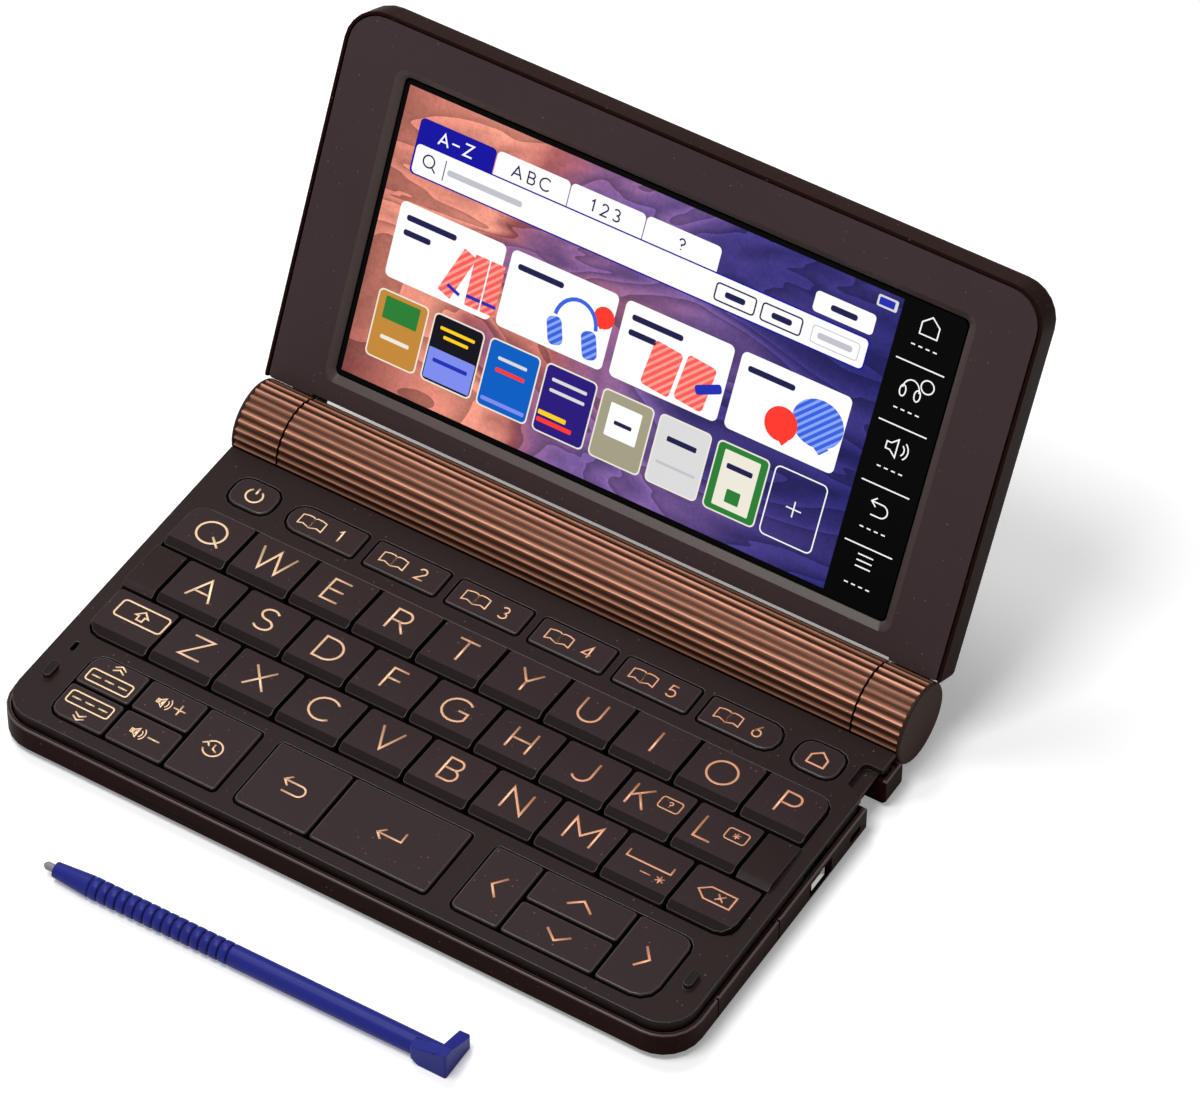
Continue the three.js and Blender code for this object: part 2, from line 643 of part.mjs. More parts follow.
clusterKey("key_down", right1, right2, "lower", Array(4).fill(plain));
clusterKey("key_right", right2, right3, "full", [plain, CLUSTER_WIDE_RADIUS, outer, plain]);
clusterOpening(rightColumns, [little, CLUSTER_WIDE_RADIUS, outer, plain]);

for (const [name, cap] of keys) {
  place(dictionary, name, cap, KEY_MATERIAL);
}

// Deck: a plate with a skirt on three sides, seated on the case's ledge
const deckInset = CASE_WALL + SEAT_GAP;
const deckHalf = half - deckInset;
const deckRear = HINGE_Y - BARREL_RADIUS / 2;
const skirtFoot = CASE_LEDGE_HEIGHT + SEAT_GAP;
function deckOutline(inset, rear) {
  const frontRadius = CASE_FRONT_RADIUS - inset;
  const radii = [frontRadius, frontRadius, DECK_REAR_RADIUS, DECK_REAR_RADIUS];
  return roundedRectangle(-half + inset, half - inset, front + inset, rear, radii, WIDE_CORNER_STEPS);
}

function keyboardFrame() {
  const skirtInset = deckInset + DECK_SKIRT;
  let made = prism(deckOutline(deckInset, deckRear), skirtFoot, DECK_TOP);
  made = made.subtract(
    prism(deckOutline(skirtInset, deckRear + CUT_OVERRUN), skirtFoot - CUT_OVERRUN, deckBottom),
  );
  for (const outline of openings) {
    made = made.subtract(prism(outline, deckBottom - CUT_OVERRUN, DECK_TOP + CUT_OVERRUN));
  }

  // The half caps at the ends of the middle row
  for (const side of [-1, 1]) {
    const [x0, x1] = [side * middleHalf, side * (lettersHalf + MOVING_GAP + WELD)].sort((a, b) => a - b);
    made = made.add(prismAlongX(letterProfile(rowBack(1), deckBottom), x0, x1));
  }

  // The skirt is open at the connector and at the notch, and stops at the case's rear wall
  const skirtCutX = deckHalf - DECK_SKIRT - WELD;
  const notchSide = notchHalf + NOTCH_WALL + SEAT_GAP;
  const skirtGaps = [
    [portY[0] - SEAT_GAP, portY[1] + SEAT_GAP],
    [CHANNEL_Y - notchSide, CHANNEL_Y + notchSide],
  ];
  for (const [y0, y1] of skirtGaps) {
    made = made.subtract(box(skirtCutX, half, y0, y1, skirtFoot - CUT_OVERRUN, deckBottom));
  }
  const skirtRear = cavityRear - SEAT_GAP;
  const skirtEnd = deckRear + CUT_OVERRUN;
  made = made.subtract(box(-half, half, skirtRear, skirtEnd, skirtFoot - CUT_OVERRUN, deckBottom));

  // Finger scoop over the notch: slanted in front, arched behind, with a shelf under its inner edge
  const shelfHalf = notchHalf + SHELF_MARGIN;
  const shelfX = [half - SHELF_REACH, half - SHELF_OUTER_REACH];
  const shelfY = [CHANNEL_Y - shelfHalf, CHANNEL_Y + shelfHalf];
  made = made.add(box(...shelfX, ...shelfY, SHELF_BOTTOM, deckBottom + WELD));
  const scoopX = half - SCOOP_REACH;
  const scoopFront = CHANNEL_Y - SCOOP_FRONT;
  const scoopRear = CHANNEL_Y + SCOOP_REAR;
  const archCorner = SCOOP_ARCH * (1 - Math.SQRT1_2);
  const scoop = [
    new THREE.Vector2(scoopX, scoopFront + SCOOP_SLANT),
    new THREE.Vector2(scoopX + SCOOP_SLANT_RUN, scoopFront),
    new THREE.Vector2(half, scoopFront),
    new THREE.Vector2(half, scoopRear),
    new THREE.Vector2(scoopX + SCOOP_ARCH, scoopRear),
    new THREE.Vector2(scoopX + archCorner, scoopRear - archCorner),
    new THREE.Vector2(scoopX, scoopRear - SCOOP_ARCH),
  ];
  made = made.subtract(prism(scoop, SHELF_TOP, DECK_TOP + CUT_OVERRUN));

  // Rubber stops for the closed lid, and the slot over the microphone
  for (const side of [-1, 1]) {
    const bumpX = side * (half - BUMP.inset);
    const bumpY = front + BUMP.setback;
    const stop = roundedRectangle(
      bumpX - BUMP.width / 2,
      bumpX + BUMP.width / 2,
      bumpY - BUMP.length / 2,
      bumpY + BUMP.length / 2,
      Array(4).fill((BUMP.width / 2) * ROUND_END_SHARE),
    );
    made = made.add(prism(stop, DECK_TOP - WELD, DECK_TOP + BUMP.height));
  }
  const slotX = MIC_SLOT.inset - half;
  const slotY = front + MIC_SLOT.setback;
  const slot = roundedRectangle(
    slotX - MIC_SLOT.width / 2,
    slotX + MIC_SLOT.width / 2,
    slotY - MIC_SLOT.length / 2,
    slotY + MIC_SLOT.length / 2,
    Array(4).fill((MIC_SLOT.width / 2) * ROUND_END_SHARE),
  );
  made = made.subtract(prism(slot, deckBottom - CUT_OVERRUN, DECK_TOP + CUT_OVERRUN));
  return made.subtract(cylinderAlongX(turningBarrel, -half, half, HINGE_Y, HINGE_Z, BORE_SIDES));
}
place(dictionary, "keyboard_frame", keyboardFrame(), DECK_MATERIAL);

// Circuit board with the connector hanging under its right edge
function circuitBoard() {
  const top = BOARD_BOTTOM + BOARD_THICKNESS;
  let made = box(-boardHalf, boardHalf, boardFront, boardBack, BOARD_BOTTOM, top);
  const { width, height, depth, wall, socket } = CONNECTOR;
  const [y0, y1] = [connectorFront, connectorFront + width];
  const face = half - CASE_WALL;
  const foot = BOARD_BOTTOM - height;
  made = made.add(box(face - depth, face, y0, y1, foot, BOARD_BOTTOM + WELD));
  const mouth = [y0 + wall, y1 - wall, foot + wall, BOARD_BOTTOM - wall];
  return made.subtract(box(face - socket, face + CUT_OVERRUN, ...mouth));
}
place(dictionary, "circuit_board", circuitBoard(), BOARD_MATERIAL);

// Barrel: a fluted tube with end walls, which the hinge shafts reach through, round the cells
const barrelTube = prismAlongX(flutedOutline(BARREL_RADIUS, 0), -barrelHalf, barrelHalf);
const bore = [BARREL_END_WALL - barrelHalf, barrelHalf - BARREL_END_WALL];
const shaftHole = SHAFT_RADIUS + SEAT_GAP;
const barrel = barrelTube
  .subtract(cylinderAlongX(boreRadius, ...bore, 0, 0, BORE_SIDES))
  .subtract(cylinderAlongX(shaftHole, -half, half, 0, 0, SHAFT_SIDES));
place(dictionary, "battery_barrel", barrel.translate([0, HINGE_Y, HINGE_Z]), BARREL_MATERIAL);

const nubFoot = cellLength - CELL_NUB_LENGTH;
const cellPair = turned(
  [
    [-cellLength, 0],
    [-cellLength, cellRadius],
    [-CELL_NUB_LENGTH, cellRadius],
    [-CELL_NUB_LENGTH, CELL_NUB_RADIUS],
    [0, CELL_NUB_RADIUS],
    [0, cellRadius],
    [nubFoot, cellRadius],
    [nubFoot, CELL_NUB_RADIUS],
    [cellLength, CELL_NUB_RADIUS],
    [cellLength, 0],
  ],
  SHAFT_SIDES,
);
place(dictionary, "battery_cells", cellPair.translate([0, HINGE_Y, HINGE_Z]), CELL_MATERIAL);

// Lid
const lidTilt = Math.PI - THREE.MathUtils.degToRad(LID_OPEN_DEGREES);
const lid = new THREE.Group();
lid.position.set(0, HINGE_Y, HINGE_Z);
lid.rotation.x = lidTilt;
dictionary.add(lid);

const lidBack = LID_FRONT - LID_THICKNESS;
const lidInnerBack = lidBack + LID_BACK_WALL;
const frameBack = LID_FRONT - FRAME_THICKNESS;
const frameSeat = frameBack - SEAT_GAP;
const panelFront = LID_FRONT - POCKET_DEPTH - PANEL_SINK;
const panelBack = panelFront - PANEL_THICKNESS;
const tight = WELD;

function lidOutline(inset, lower) {
  const radius = LID_CORNER_RADIUS - inset;
  const earRadius = Math.max(LID_EAR_RADIUS - inset, tight);
  const radii = [earRadius, earRadius, radius, radius];
  return roundedRectangle(-half + inset, half - inset, lower, LID_TOP - inset, radii, WIDE_CORNER_STEPS);
}

// Layers that round a hollow's or a shell's back edge off, from the back to the front
function roundedBack(inset, lower, back, top, radius) {
  const layers = Array.from({ length: LID_BACK_STEPS + 1 }, (_, step) => {
    const angle = (step / LID_BACK_STEPS) * (Math.PI / 2);
    const outline = lidOutline(inset + radius * (1 - Math.sin(angle)), lower);
    return { outline, z: back + radius * (1 - Math.cos(angle)) };
  });
  return [...layers, { outline: lidOutline(inset, lower), z: top }];
}

function lidRearCover() {
  let made = loft(roundedBack(0, LID_EAR_LOWER, lidBack, LID_FRONT, LID_BACK_RADIUS));
  for (const side of [-1, 1]) {
    const [x0, x1] = [side * barrelEndStart, side * (half - EAR_BLEND_INSET)].sort((a, b) => a - b);
    const blend = [
      new THREE.Vector2(EAR_BLEND_LOWER, lidBack + EAR_BLEND_RISE),
      new THREE.Vector2(EAR_BLEND_LOWER + EAR_BLEND_RUN, lidBack),
      new THREE.Vector2(LID_LOWER, lidBack),
      new THREE.Vector2(LID_LOWER, frameSeat),
      new THREE.Vector2(LID_EAR_LOWER, frameSeat),
    ];
    made = made.add(prismAlongX(blend, x0, x1));
  }
  const cavity = roundedBack(
    LID_RIM,
    LID_LOWER + LID_RIM,
    lidInnerBack,
    LID_FRONT + CUT_OVERRUN,
    LID_INNER_ROUND,
  );
  made = made.subtract(loft(cavity));
  made = made.subtract(prism(lidOutline(LID_RIM, 0), frameSeat, LID_FRONT + CUT_OVERRUN));
  made = made.subtract(
    box(-barrelEndStart, barrelEndStart, 0, LID_LOWER, lidBack - CUT_OVERRUN, LID_FRONT + CUT_OVERRUN),
  );
  for (const share of RIB_SHARES) {
    const x = share * half;
    made = made.add(
      box(
        x - RIB_THICKNESS / 2,
        x + RIB_THICKNESS / 2,
        LID_LOWER + LID_RIM / 2,
        LID_TOP - LID_BACK_RADIUS,
        lidInnerBack - WELD,
        panelBack - SEAT_GAP,
      ),
    );
  }
  return made.subtract(cylinderAlongX(seatedBarrel, -half - WELD, half + WELD, 0, 0, BORE_SIDES));
}
place(lid, "lid_rear_cover", lidRearCover(), BEZEL_MATERIAL);

// The screen's pocket at a share of its slope: 0 at the frame's face and 1 at its floor
function pocketOutline(share, clearance = 0) {
  const along = share * POCKET_SLOPE + clearance;
  const across = share * POCKET_SLOPE_ENDS + clearance;
  const radius = THREE.MathUtils.lerp(POCKET_RADIUS, POCKET_FLOOR_RADIUS, share);
  return roundedRectangle(
    -pocketHalf + along,
    pocketHalf - along,
    pocketLower + across,
    pocketUpper - across,
    Array(4).fill(radius),
  );
}

function lidFrontFrame() {
  const inset = LID_RIM + SEAT_GAP;
  let made = prism(lidOutline(inset, FRAME_TAB_LOWER), frameBack, LID_FRONT);
  made = made.subtract(
    box(-barrelEndStart, barrelEndStart, 0, LID_LOWER, frameBack - CUT_OVERRUN, LID_FRONT + CUT_OVERRUN),
  );
  const pocket = loft([
    { outline: pocketOutline(1), z: frameBack - CUT_OVERRUN },
    { outline: pocketOutline(1), z: LID_FRONT - POCKET_DEPTH },
    { outline: pocketOutline(0), z: LID_FRONT },
    { outline: pocketOutline(0), z: LID_FRONT + CUT_OVERRUN },
  ]);
  made = made.subtract(pocket);
  return made.subtract(cylinderAlongX(seatedBarrel, -half, half, 0, 0, BORE_SIDES));
}
place(lid, "lid_front_frame", lidFrontFrame(), BEZEL_MATERIAL);

const panel = prism(pocketOutline(1, SEAT_GAP), panelBack, panelFront);
place(lid, "display_panel", panel, GLASS_MATERIAL);

// The barrel's turning ends, each with the shaft that the lid turns on
for (const [name, side] of [["hinge_barrel_left", -1], ["hinge_barrel_right", 1]]) {
  const disc = barrelEndFace - END_DISC_THICKNESS;
  const fluted = prismAlongX(flutedOutline(BARREL_RADIUS, -lidTilt), barrelEndStart, disc + WELD);
  const end = turned(
    [
      [barrelEndStart - SHAFT_REACH, 0],
      [barrelEndStart - SHAFT_REACH, SHAFT_RADIUS],
      [disc, SHAFT_RADIUS],
      [disc, BARREL_RADIUS - END_DISC_CHAMFER],
      [disc + END_DISC_CHAMFER, BARREL_RADIUS],
      [barrelEndFace - END_DISC_CHAMFER, BARREL_RADIUS],
      [barrelEndFace, BARREL_RADIUS - END_DISC_CHAMFER],
      [barrelEndFace, 0],
    ],
    BORE_SIDES,
  );
  const made = fluted.add(end);
  place(lid, name, side < 0 ? made.mirror([1, 0, 0]) : made, BARREL_MATERIAL);
}

// Stylus: a ringed grip that narrows to a collar for the tip, a plain shaft and a head with a finger arm
const stylus = new THREE.Group();
stylus.position.set(STYLUS_LIE_X, front - STYLUS_LIE_AHEAD, STYLUS_RADIUS - FOOT_HEIGHT);
stylus.rotation.z = THREE.MathUtils.degToRad(STYLUS_SLANT_DEGREES);
dictionary.add(stylus);

function stylusBody() {
  const rings = Array.from({ length: GRIP_RINGS }, (_, ring) => {
    const start = gripStart + GRIP_GROOVE + ring * GRIP_PITCH;
    const groove = STYLUS_RADIUS - GRIP_GROOVE;
    return [
      [start, groove],
      [start + GRIP_PITCH / 2, STYLUS_RADIUS],
    ];
  });
  const bareRadius = TIP_RADIUS + SEAT_GAP;
  const shaft = turned(
    [
      [TIP_ROD + SEAT_GAP, 0],
      [TIP_ROD + SEAT_GAP, bareRadius],
      [TIP_FREE, bareRadius],
      [TIP_FREE, COLLAR_NOSE],
      [gripStart, STYLUS_RADIUS],
      ...rings.flat(),
      [gripEnd + GRIP_GROOVE, STYLUS_RADIUS - GRIP_GROOVE],
      [gripEnd + 2 * GRIP_GROOVE, STYLUS_RADIUS],
      [headEnd - HEAD_CORNER_RADIUS, STYLUS_RADIUS],
      [headEnd - HEAD_CORNER_RADIUS, 0],
    ],
    STYLUS_SIDES,
  );

  // Head: a block that rises to its end, and an arm across it that falls away to the rear
  const side = [
    new THREE.Vector2(headStart + HEAD_TOE, -STYLUS_RADIUS),
    new THREE.Vector2(headEnd, -STYLUS_RADIUS),
    new THREE.Vector2(headEnd, HEAD_END_TOP),
    new THREE.Vector2(headStart, HEAD_START_TOP),
    new THREE.Vector2(headStart, -STYLUS_RADIUS + HEAD_TOE),
  ];
  const upright = new THREE.ExtrudeGeometry(new THREE.Shape(side), {
    depth: HEAD_FRONT - HEAD_BACK,
    bevelEnabled: false,
  });
  const block = solid(upright.rotateX(Math.PI / 2).translate(0, -HEAD_BACK, 0));
  const arm = [
    new THREE.Vector2(-HEAD_FRONT, -STYLUS_RADIUS),
    new THREE.Vector2(ARM_REACH, -STYLUS_RADIUS),
    new THREE.Vector2(ARM_REACH, ARM_END_TOP),
    new THREE.Vector2(-HEAD_FRONT, HEAD_END_TOP),
  ];
  const head = block.add(prismAlongX(arm, headEnd - ARM_THICKNESS, headEnd));
  const radii = Array(4).fill(HEAD_CORNER_RADIUS);
  const plan = roundedRectangle(headStart, headEnd, -HEAD_FRONT, ARM_REACH, radii);
  const reach = HEAD_END_TOP + CUT_OVERRUN;
  return shaft.add(head.intersect(prism(plan, -reach, reach)));
}
place(stylus, "stylus_body", stylusBody(), STYLUS_MATERIAL);

const tip = turned(
  [
    [0, 0],
    [TIP_RADIUS / 2, TIP_RADIUS * Math.SQRT1_2],
    [TIP_RADIUS, TIP_RADIUS],
    [TIP_ROD, TIP_RADIUS],
    [TIP_ROD, 0],
  ],
  TIP_SIDES,
);
place(stylus, "stylus_tip", tip, TIP_MATERIAL);

export default dictionary;
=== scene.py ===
import json
import math

import bmesh
import bpy
from mathutils import Matrix, Vector

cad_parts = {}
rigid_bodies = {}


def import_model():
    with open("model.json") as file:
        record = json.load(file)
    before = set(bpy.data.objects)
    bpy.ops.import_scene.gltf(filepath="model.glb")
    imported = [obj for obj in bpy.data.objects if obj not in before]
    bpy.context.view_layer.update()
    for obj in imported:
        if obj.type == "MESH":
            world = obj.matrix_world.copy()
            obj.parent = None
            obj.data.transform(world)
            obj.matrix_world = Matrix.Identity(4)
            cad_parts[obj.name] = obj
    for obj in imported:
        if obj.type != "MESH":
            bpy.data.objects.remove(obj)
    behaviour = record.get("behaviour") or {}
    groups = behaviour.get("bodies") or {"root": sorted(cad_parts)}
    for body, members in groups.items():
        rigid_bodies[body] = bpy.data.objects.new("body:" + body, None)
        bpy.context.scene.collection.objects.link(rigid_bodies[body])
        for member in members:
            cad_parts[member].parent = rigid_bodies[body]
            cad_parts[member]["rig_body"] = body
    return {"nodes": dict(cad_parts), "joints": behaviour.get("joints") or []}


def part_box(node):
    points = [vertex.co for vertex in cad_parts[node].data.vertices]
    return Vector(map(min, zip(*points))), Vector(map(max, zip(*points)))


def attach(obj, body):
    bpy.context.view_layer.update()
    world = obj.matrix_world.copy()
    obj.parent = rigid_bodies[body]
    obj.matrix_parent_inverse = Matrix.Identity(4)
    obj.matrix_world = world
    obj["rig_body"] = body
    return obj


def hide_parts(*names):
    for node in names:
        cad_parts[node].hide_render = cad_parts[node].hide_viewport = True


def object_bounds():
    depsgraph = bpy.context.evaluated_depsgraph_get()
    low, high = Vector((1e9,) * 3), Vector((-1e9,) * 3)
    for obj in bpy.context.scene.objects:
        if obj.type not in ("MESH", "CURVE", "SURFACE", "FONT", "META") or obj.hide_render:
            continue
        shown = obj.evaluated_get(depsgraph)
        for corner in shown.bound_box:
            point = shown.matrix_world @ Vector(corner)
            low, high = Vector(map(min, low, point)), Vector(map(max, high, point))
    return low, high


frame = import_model()
cad_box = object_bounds()
nodes = frame["nodes"]
MM = 0.001

# Camera: a long lens, high and to the right of the front, as the photograph was taken.
# Its place and turn were solved from the keys and the lid's corners, in millimetres.
CAMERA_PLACE = (426.88, -657.25, 896.84)
CAMERA_AIM = (-0.3547, 0.5754, -0.7369)
CAMERA_ROLL_DEGREES = 0.358
CAMERA_LENS = 193.29
CAMERA_SHIFT = (0.02543, 0.01639)
camera = bpy.data.objects.new("camera", bpy.data.cameras.new("camera"))
bpy.context.scene.collection.objects.link(camera)
camera.data.sensor_width = 36
camera.data.lens = CAMERA_LENS
camera.data.shift_x, camera.data.shift_y = CAMERA_SHIFT
camera.data.clip_start = 0.01
camera.data.clip_end = 20
level = Vector(CAMERA_AIM).to_track_quat("-Z", "Y").to_matrix().to_4x4()
roll = Matrix.Rotation(math.radians(CAMERA_ROLL_DEGREES), 4, "Z")
camera.matrix_world = Matrix.Translation(Vector(CAMERA_PLACE) * MM) @ level @ roll
bpy.context.scene.camera = camera

# Room: a white card floor in an even pale room, under a softbox above the front and a lower one
# on the left. The card keeps the soft shadow that the lid throws behind it.
bpy.context.scene.view_settings.view_transform = "Standard"
WHITE = "#ffffff"
FLOOR_HALF = 3000
FLOOR_GAP = 0.02  # under the feet
ROOM_STRENGTH = 0.17
FLOOR_GLOW = 0.26  # near the object
FAR_GLOW = 0.8
GRADE = (200, 900)  # the card grows brighter between these distances
FULL_WHITE = 1
LAMPS = [  # name, place, aim, size and power
    ("front_softbox", (-110, -240, 880), (0, 30, 20), 340, 4.7),
    ("left_softbox", (-250, 170, 640), (0, 30, 20), 240, 1.7),
]


def linear(hex_colour):
    shares = [int(hex_colour[i : i + 2], 16) / 255 for i in (1, 3, 5)]
    return [s / 12.92 if s <= 0.04045 else ((s + 0.055) / 1.055) ** 2.4 for s in shares] + [1]


def add(tree, kind, links=(), inputs=(), **settings):
    made = tree.nodes.new(kind)
    for name, value in settings.items():
        setattr(made, name, value)
    for socket, value in inputs:
        made.inputs[socket].default_value = value
    for source, socket in links:
        tree.links.new(source, made.inputs[socket])
    return made


world = bpy.data.worlds.new("pale_room")
world.use_nodes = True
bpy.context.scene.world = world
tree = world.node_tree
tree.nodes.clear()
path = add(tree, "ShaderNodeLightPath").outputs
seen = add(
    tree,
    "ShaderNodeMath",
    [(path["Is Camera Ray"], 0), (path["Is Glossy Ray"], 1)],
    operation="MAXIMUM",
)
seen = add(
    tree,
    "ShaderNodeMath",
    [(seen.outputs[0], 0), (path["Is Transmission Ray"], 1)],
    operation="MAXIMUM",
)
strength = add(
    tree,
    "ShaderNodeMapRange",
    [(seen.outputs[0], "Value")],
    [("To Min", ROOM_STRENGTH), ("To Max", FULL_WHITE)],
)
background = add(
    tree, "ShaderNodeBackground", [(strength.outputs[0], "Strength")], [("Color", linear(WHITE))]
)
add(tree, "ShaderNodeOutputWorld", [(background.outputs[0], "Surface")])

for name, place, aim, size, power in LAMPS:
    lamp = bpy.data.objects.new(name, bpy.data.lights.new(name, "AREA"))
    lamp.data.energy = power
    lamp.data.size = size * MM
    lamp.location = Vector(place) * MM
    lamp.rotation_euler = (Vector(aim) - Vector(place)).to_track_quat("-Z", "Y").to_euler()
    bpy.context.scene.collection.objects.link(lamp)


def new_tree(name):
    material = bpy.data.materials.new(name)
    material.use_nodes = True
    material.node_tree.nodes.clear()
    return material, material.node_tree


def piece(name, mesh, body, slot, *materials):
    """An object at the origin that rides on a body; a body of None leaves it to the stage"""
    if isinstance(mesh, bmesh.types.BMesh):
        bm = mesh
        mesh = bpy.data.meshes.new(name)
        bm.to_mesh(mesh)
        bm.free()
    made = bpy.data.objects.new(name, mesh)
    bpy.context.scene.collection.objects.link(made)
    for material in materials:
        mesh.materials.append(material)
    if body:
        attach(made, body)
    return made


# Uncoated card scatters light evenly and has no shine of its own.
card, tree = new_tree("matt_white_card")
place = add(tree, "ShaderNodeTexCoord").outputs["Object"]
away = add(tree, "ShaderNodeVectorMath", [(place, 0)], operation="LENGTH")
grade = add(
    tree,
    "ShaderNodeMapRange",
    [(away.outputs["Value"], "Value")],
    [
        ("From Min", GRADE[0] * MM),
        ("From Max", GRADE[1] * MM),
        ("To Min", FLOOR_GLOW),
        ("To Max", FAR_GLOW),
    ],
)
path = add(tree, "ShaderNodeLightPath").outputs
glow = add(
    tree,
    "ShaderNodeMath",
    [(path["Is Camera Ray"], 0), (grade.outputs[0], 1)],
    operation="MULTIPLY",
)
diffuse = add(tree, "ShaderNodeBsdfDiffuse", [], [("Color", linear(WHITE))])
emission = add(
    tree, "ShaderNodeEmission", [(glow.outputs[0], "Strength")], [("Color", linear(WHITE))]
)
both = add(tree, "ShaderNodeAddShader", [(diffuse.outputs[0], 0), (emission.outputs[0], 1)])
add(tree, "ShaderNodeOutputMaterial", [(both.outputs[0], "Surface")])
bm = bmesh.new()
bmesh.ops.create_grid(bm, x_segments=1, y_segments=1, size=FLOOR_HALF * MM)
bmesh.ops.translate(bm, verts=bm.verts, vec=(0, 0, cad_box[0][2] - FLOOR_GAP * MM))
piece("floor", bm, None, None, card)

# Lower case: the tray of the keyboard half, injection-moulded ABS in a brown-black paint.
# The paint holds fine metal flake, drawn as sparse pale specks that are painted glints; the edges
# are broken, not sharp.
CASE_PAINT = "#220f0c"
CASE_EDGE_HIGHLIGHT = "#4a3a38"  # painted highlight on the upper edges, paler than the paint
RUBBER = "#231b1b"
FLAKE_AND_GLINT = "#8d7468"
FLAKE_CELL = 1.1  # one flake drawn in a cell of this size, coarse enough to show
FLAKE_DOT = (0.1, 0.17)  # a flake's core and its soft edge, as shares of its cell
BARE_CELLS = 0.8  # the share of cells that hold no flake
CLOUD_WIDTH = 30
CLOUD_TONE = (0.85, 1.15)
PEEL_WIDTH = 0.4
PEEL_HEIGHT = 0.05
PEEL_STRENGTH = 0.08
PLASTIC_IOR = 1.5
EDGE_ROUND = 0.12
TRAY_EDGE = 0.35
LEDGE_HEIGHT = 5.9
FOOT_LINE = -0.05  # the pads' faces lie under the case's flat underside
RIM_FACING = 0.25  # only edges that face up take the painted highlight
SHARP_DEGREES = 32
FLAT_DEGREES = 1  # faces that meet within this are one flat face
WELD = 0.001


def painted_abs(name, colour, roughness, flake_glint_share=0.6, specular=0.09):
    """Moulded ABS under flaked paint: matt, with a faint orange peel and sparse pale specks,
    painted glints of the flake.

    With no flake it is any moulded or coated surface that is left plain.
    """
    material, tree = new_tree(name)
    place = add(tree, "ShaderNodeTexCoord").outputs["Object"]
    flakes = add(
        tree, "ShaderNodeTexVoronoi", [(place, "Vector")], [("Scale", 1 / (FLAKE_CELL * MM))]
    )
    dot = add(
        tree,
        "ShaderNodeMapRange",
        [(flakes.outputs["Distance"], "Value")],
        [("From Min", FLAKE_DOT[0]), ("From Max", FLAKE_DOT[1]), ("To Min", 1), ("To Max", 0)],
    )
    parts = add(tree, "ShaderNodeSeparateColor", [(flakes.outputs["Color"], "Color")])
    few = add(
        tree,
        "ShaderNodeMapRange",
        [(parts.outputs[0], "Value")],
        [("From Min", BARE_CELLS), ("From Max", 1), ("To Max", flake_glint_share)],
    )
    share = add(
        tree, "ShaderNodeMath", [(dot.outputs[0], 0), (few.outputs[0], 1)], operation="MULTIPLY"
    )
    cloud = add(
        tree, "ShaderNodeTexNoise", [(place, "Vector")], [("Scale", 1 / (CLOUD_WIDTH * MM))]
    )
    shade = add(
        tree,
        "ShaderNodeMapRange",
        [(cloud.outputs[0], "Value")],
        [("To Min", CLOUD_TONE[0]), ("To Max", CLOUD_TONE[1])],
    )
    toned = add(
        tree,
        "ShaderNodeHueSaturation",
        [(shade.outputs[0], "Value")],
        [("Color", linear(colour))],
    )
    # Painted glint: pale specks of the flake colour mixed into the paint.
    mixed = add(
        tree,
        "ShaderNodeMix",
        [(share.outputs[0], 0), (toned.outputs[0], 6)],
        [(7, linear(FLAKE_AND_GLINT))],
        data_type="RGBA",
    )
    peel = add(
        tree,
        "ShaderNodeTexNoise",
        [(place, "Vector")],
        [("Scale", 1 / (PEEL_WIDTH * MM)), ("Detail", 2)],
    )
    bump = add(
        tree,
        "ShaderNodeBump",
        [(peel.outputs[0], "Height")],
        [("Strength", PEEL_STRENGTH), ("Distance", PEEL_HEIGHT * MM)],
    )
    paint = add(
        tree,
        "ShaderNodeBsdfPrincipled",
        [(mixed.outputs[2], "Base Color"), (bump.outputs[0], "Normal")],
        [("Roughness", roughness), ("IOR", PLASTIC_IOR), ("Specular IOR Level", specular)],
    )
    add(tree, "ShaderNodeOutputMaterial", [(paint.outputs[0], "Surface")])
    return material


def moulded(
    name,
    node,
    slot,
    materials,
    edge=EDGE_ROUND,
    segments=2,
    painted=None,
    rim=0,
    where=None,
    clamp=True,
):
    """A node's own shape with its edges broken, in place of the node; rim is a material for the
    broken edges that face up, painted paler as a highlight.

    where picks the edges that are broken; clamp keeps the finest details whole.
    """
    bm = bmesh.new()
    bm.from_mesh(nodes[node].data)
    bmesh.ops.remove_doubles(bm, verts=bm.verts, dist=WELD * MM)
    flat = math.radians(FLAT_DEGREES)
    bmesh.ops.dissolve_limit(bm, angle_limit=flat, verts=bm.verts, edges=bm.edges)
    sharp = [e for e in bm.edges if e.calc_face_angle(0) > math.radians(SHARP_DEGREES)]
    if where:
        sharp = [e for e in sharp if where(e)]
    broken = bmesh.ops.bevel(
        bm,
        geom=sharp,
        offset=edge * MM,
        affect="EDGES",
        segments=segments,
        profile=0.5,
        material=-1,
        clamp_overlap=clamp,
    )["faces"]
    for face in bm.faces:
        face.smooth = True
        face.material_index = painted(face) if painted else 0
    # Broken edges that face up take the rim material, a painted highlight.
    for face in broken if rim else []:
        if face.normal.z > RIM_FACING:
            face.material_index = rim
    for e in bm.edges:
        e.smooth = e.calc_face_angle(0) < math.radians(SHARP_DEGREES)
    made = piece(name, bm, nodes[node]["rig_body"], slot, *materials)
    made.modifiers.new("flat_faces", "WEIGHTED_NORMAL").keep_sharp = True
    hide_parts(node)
    return made
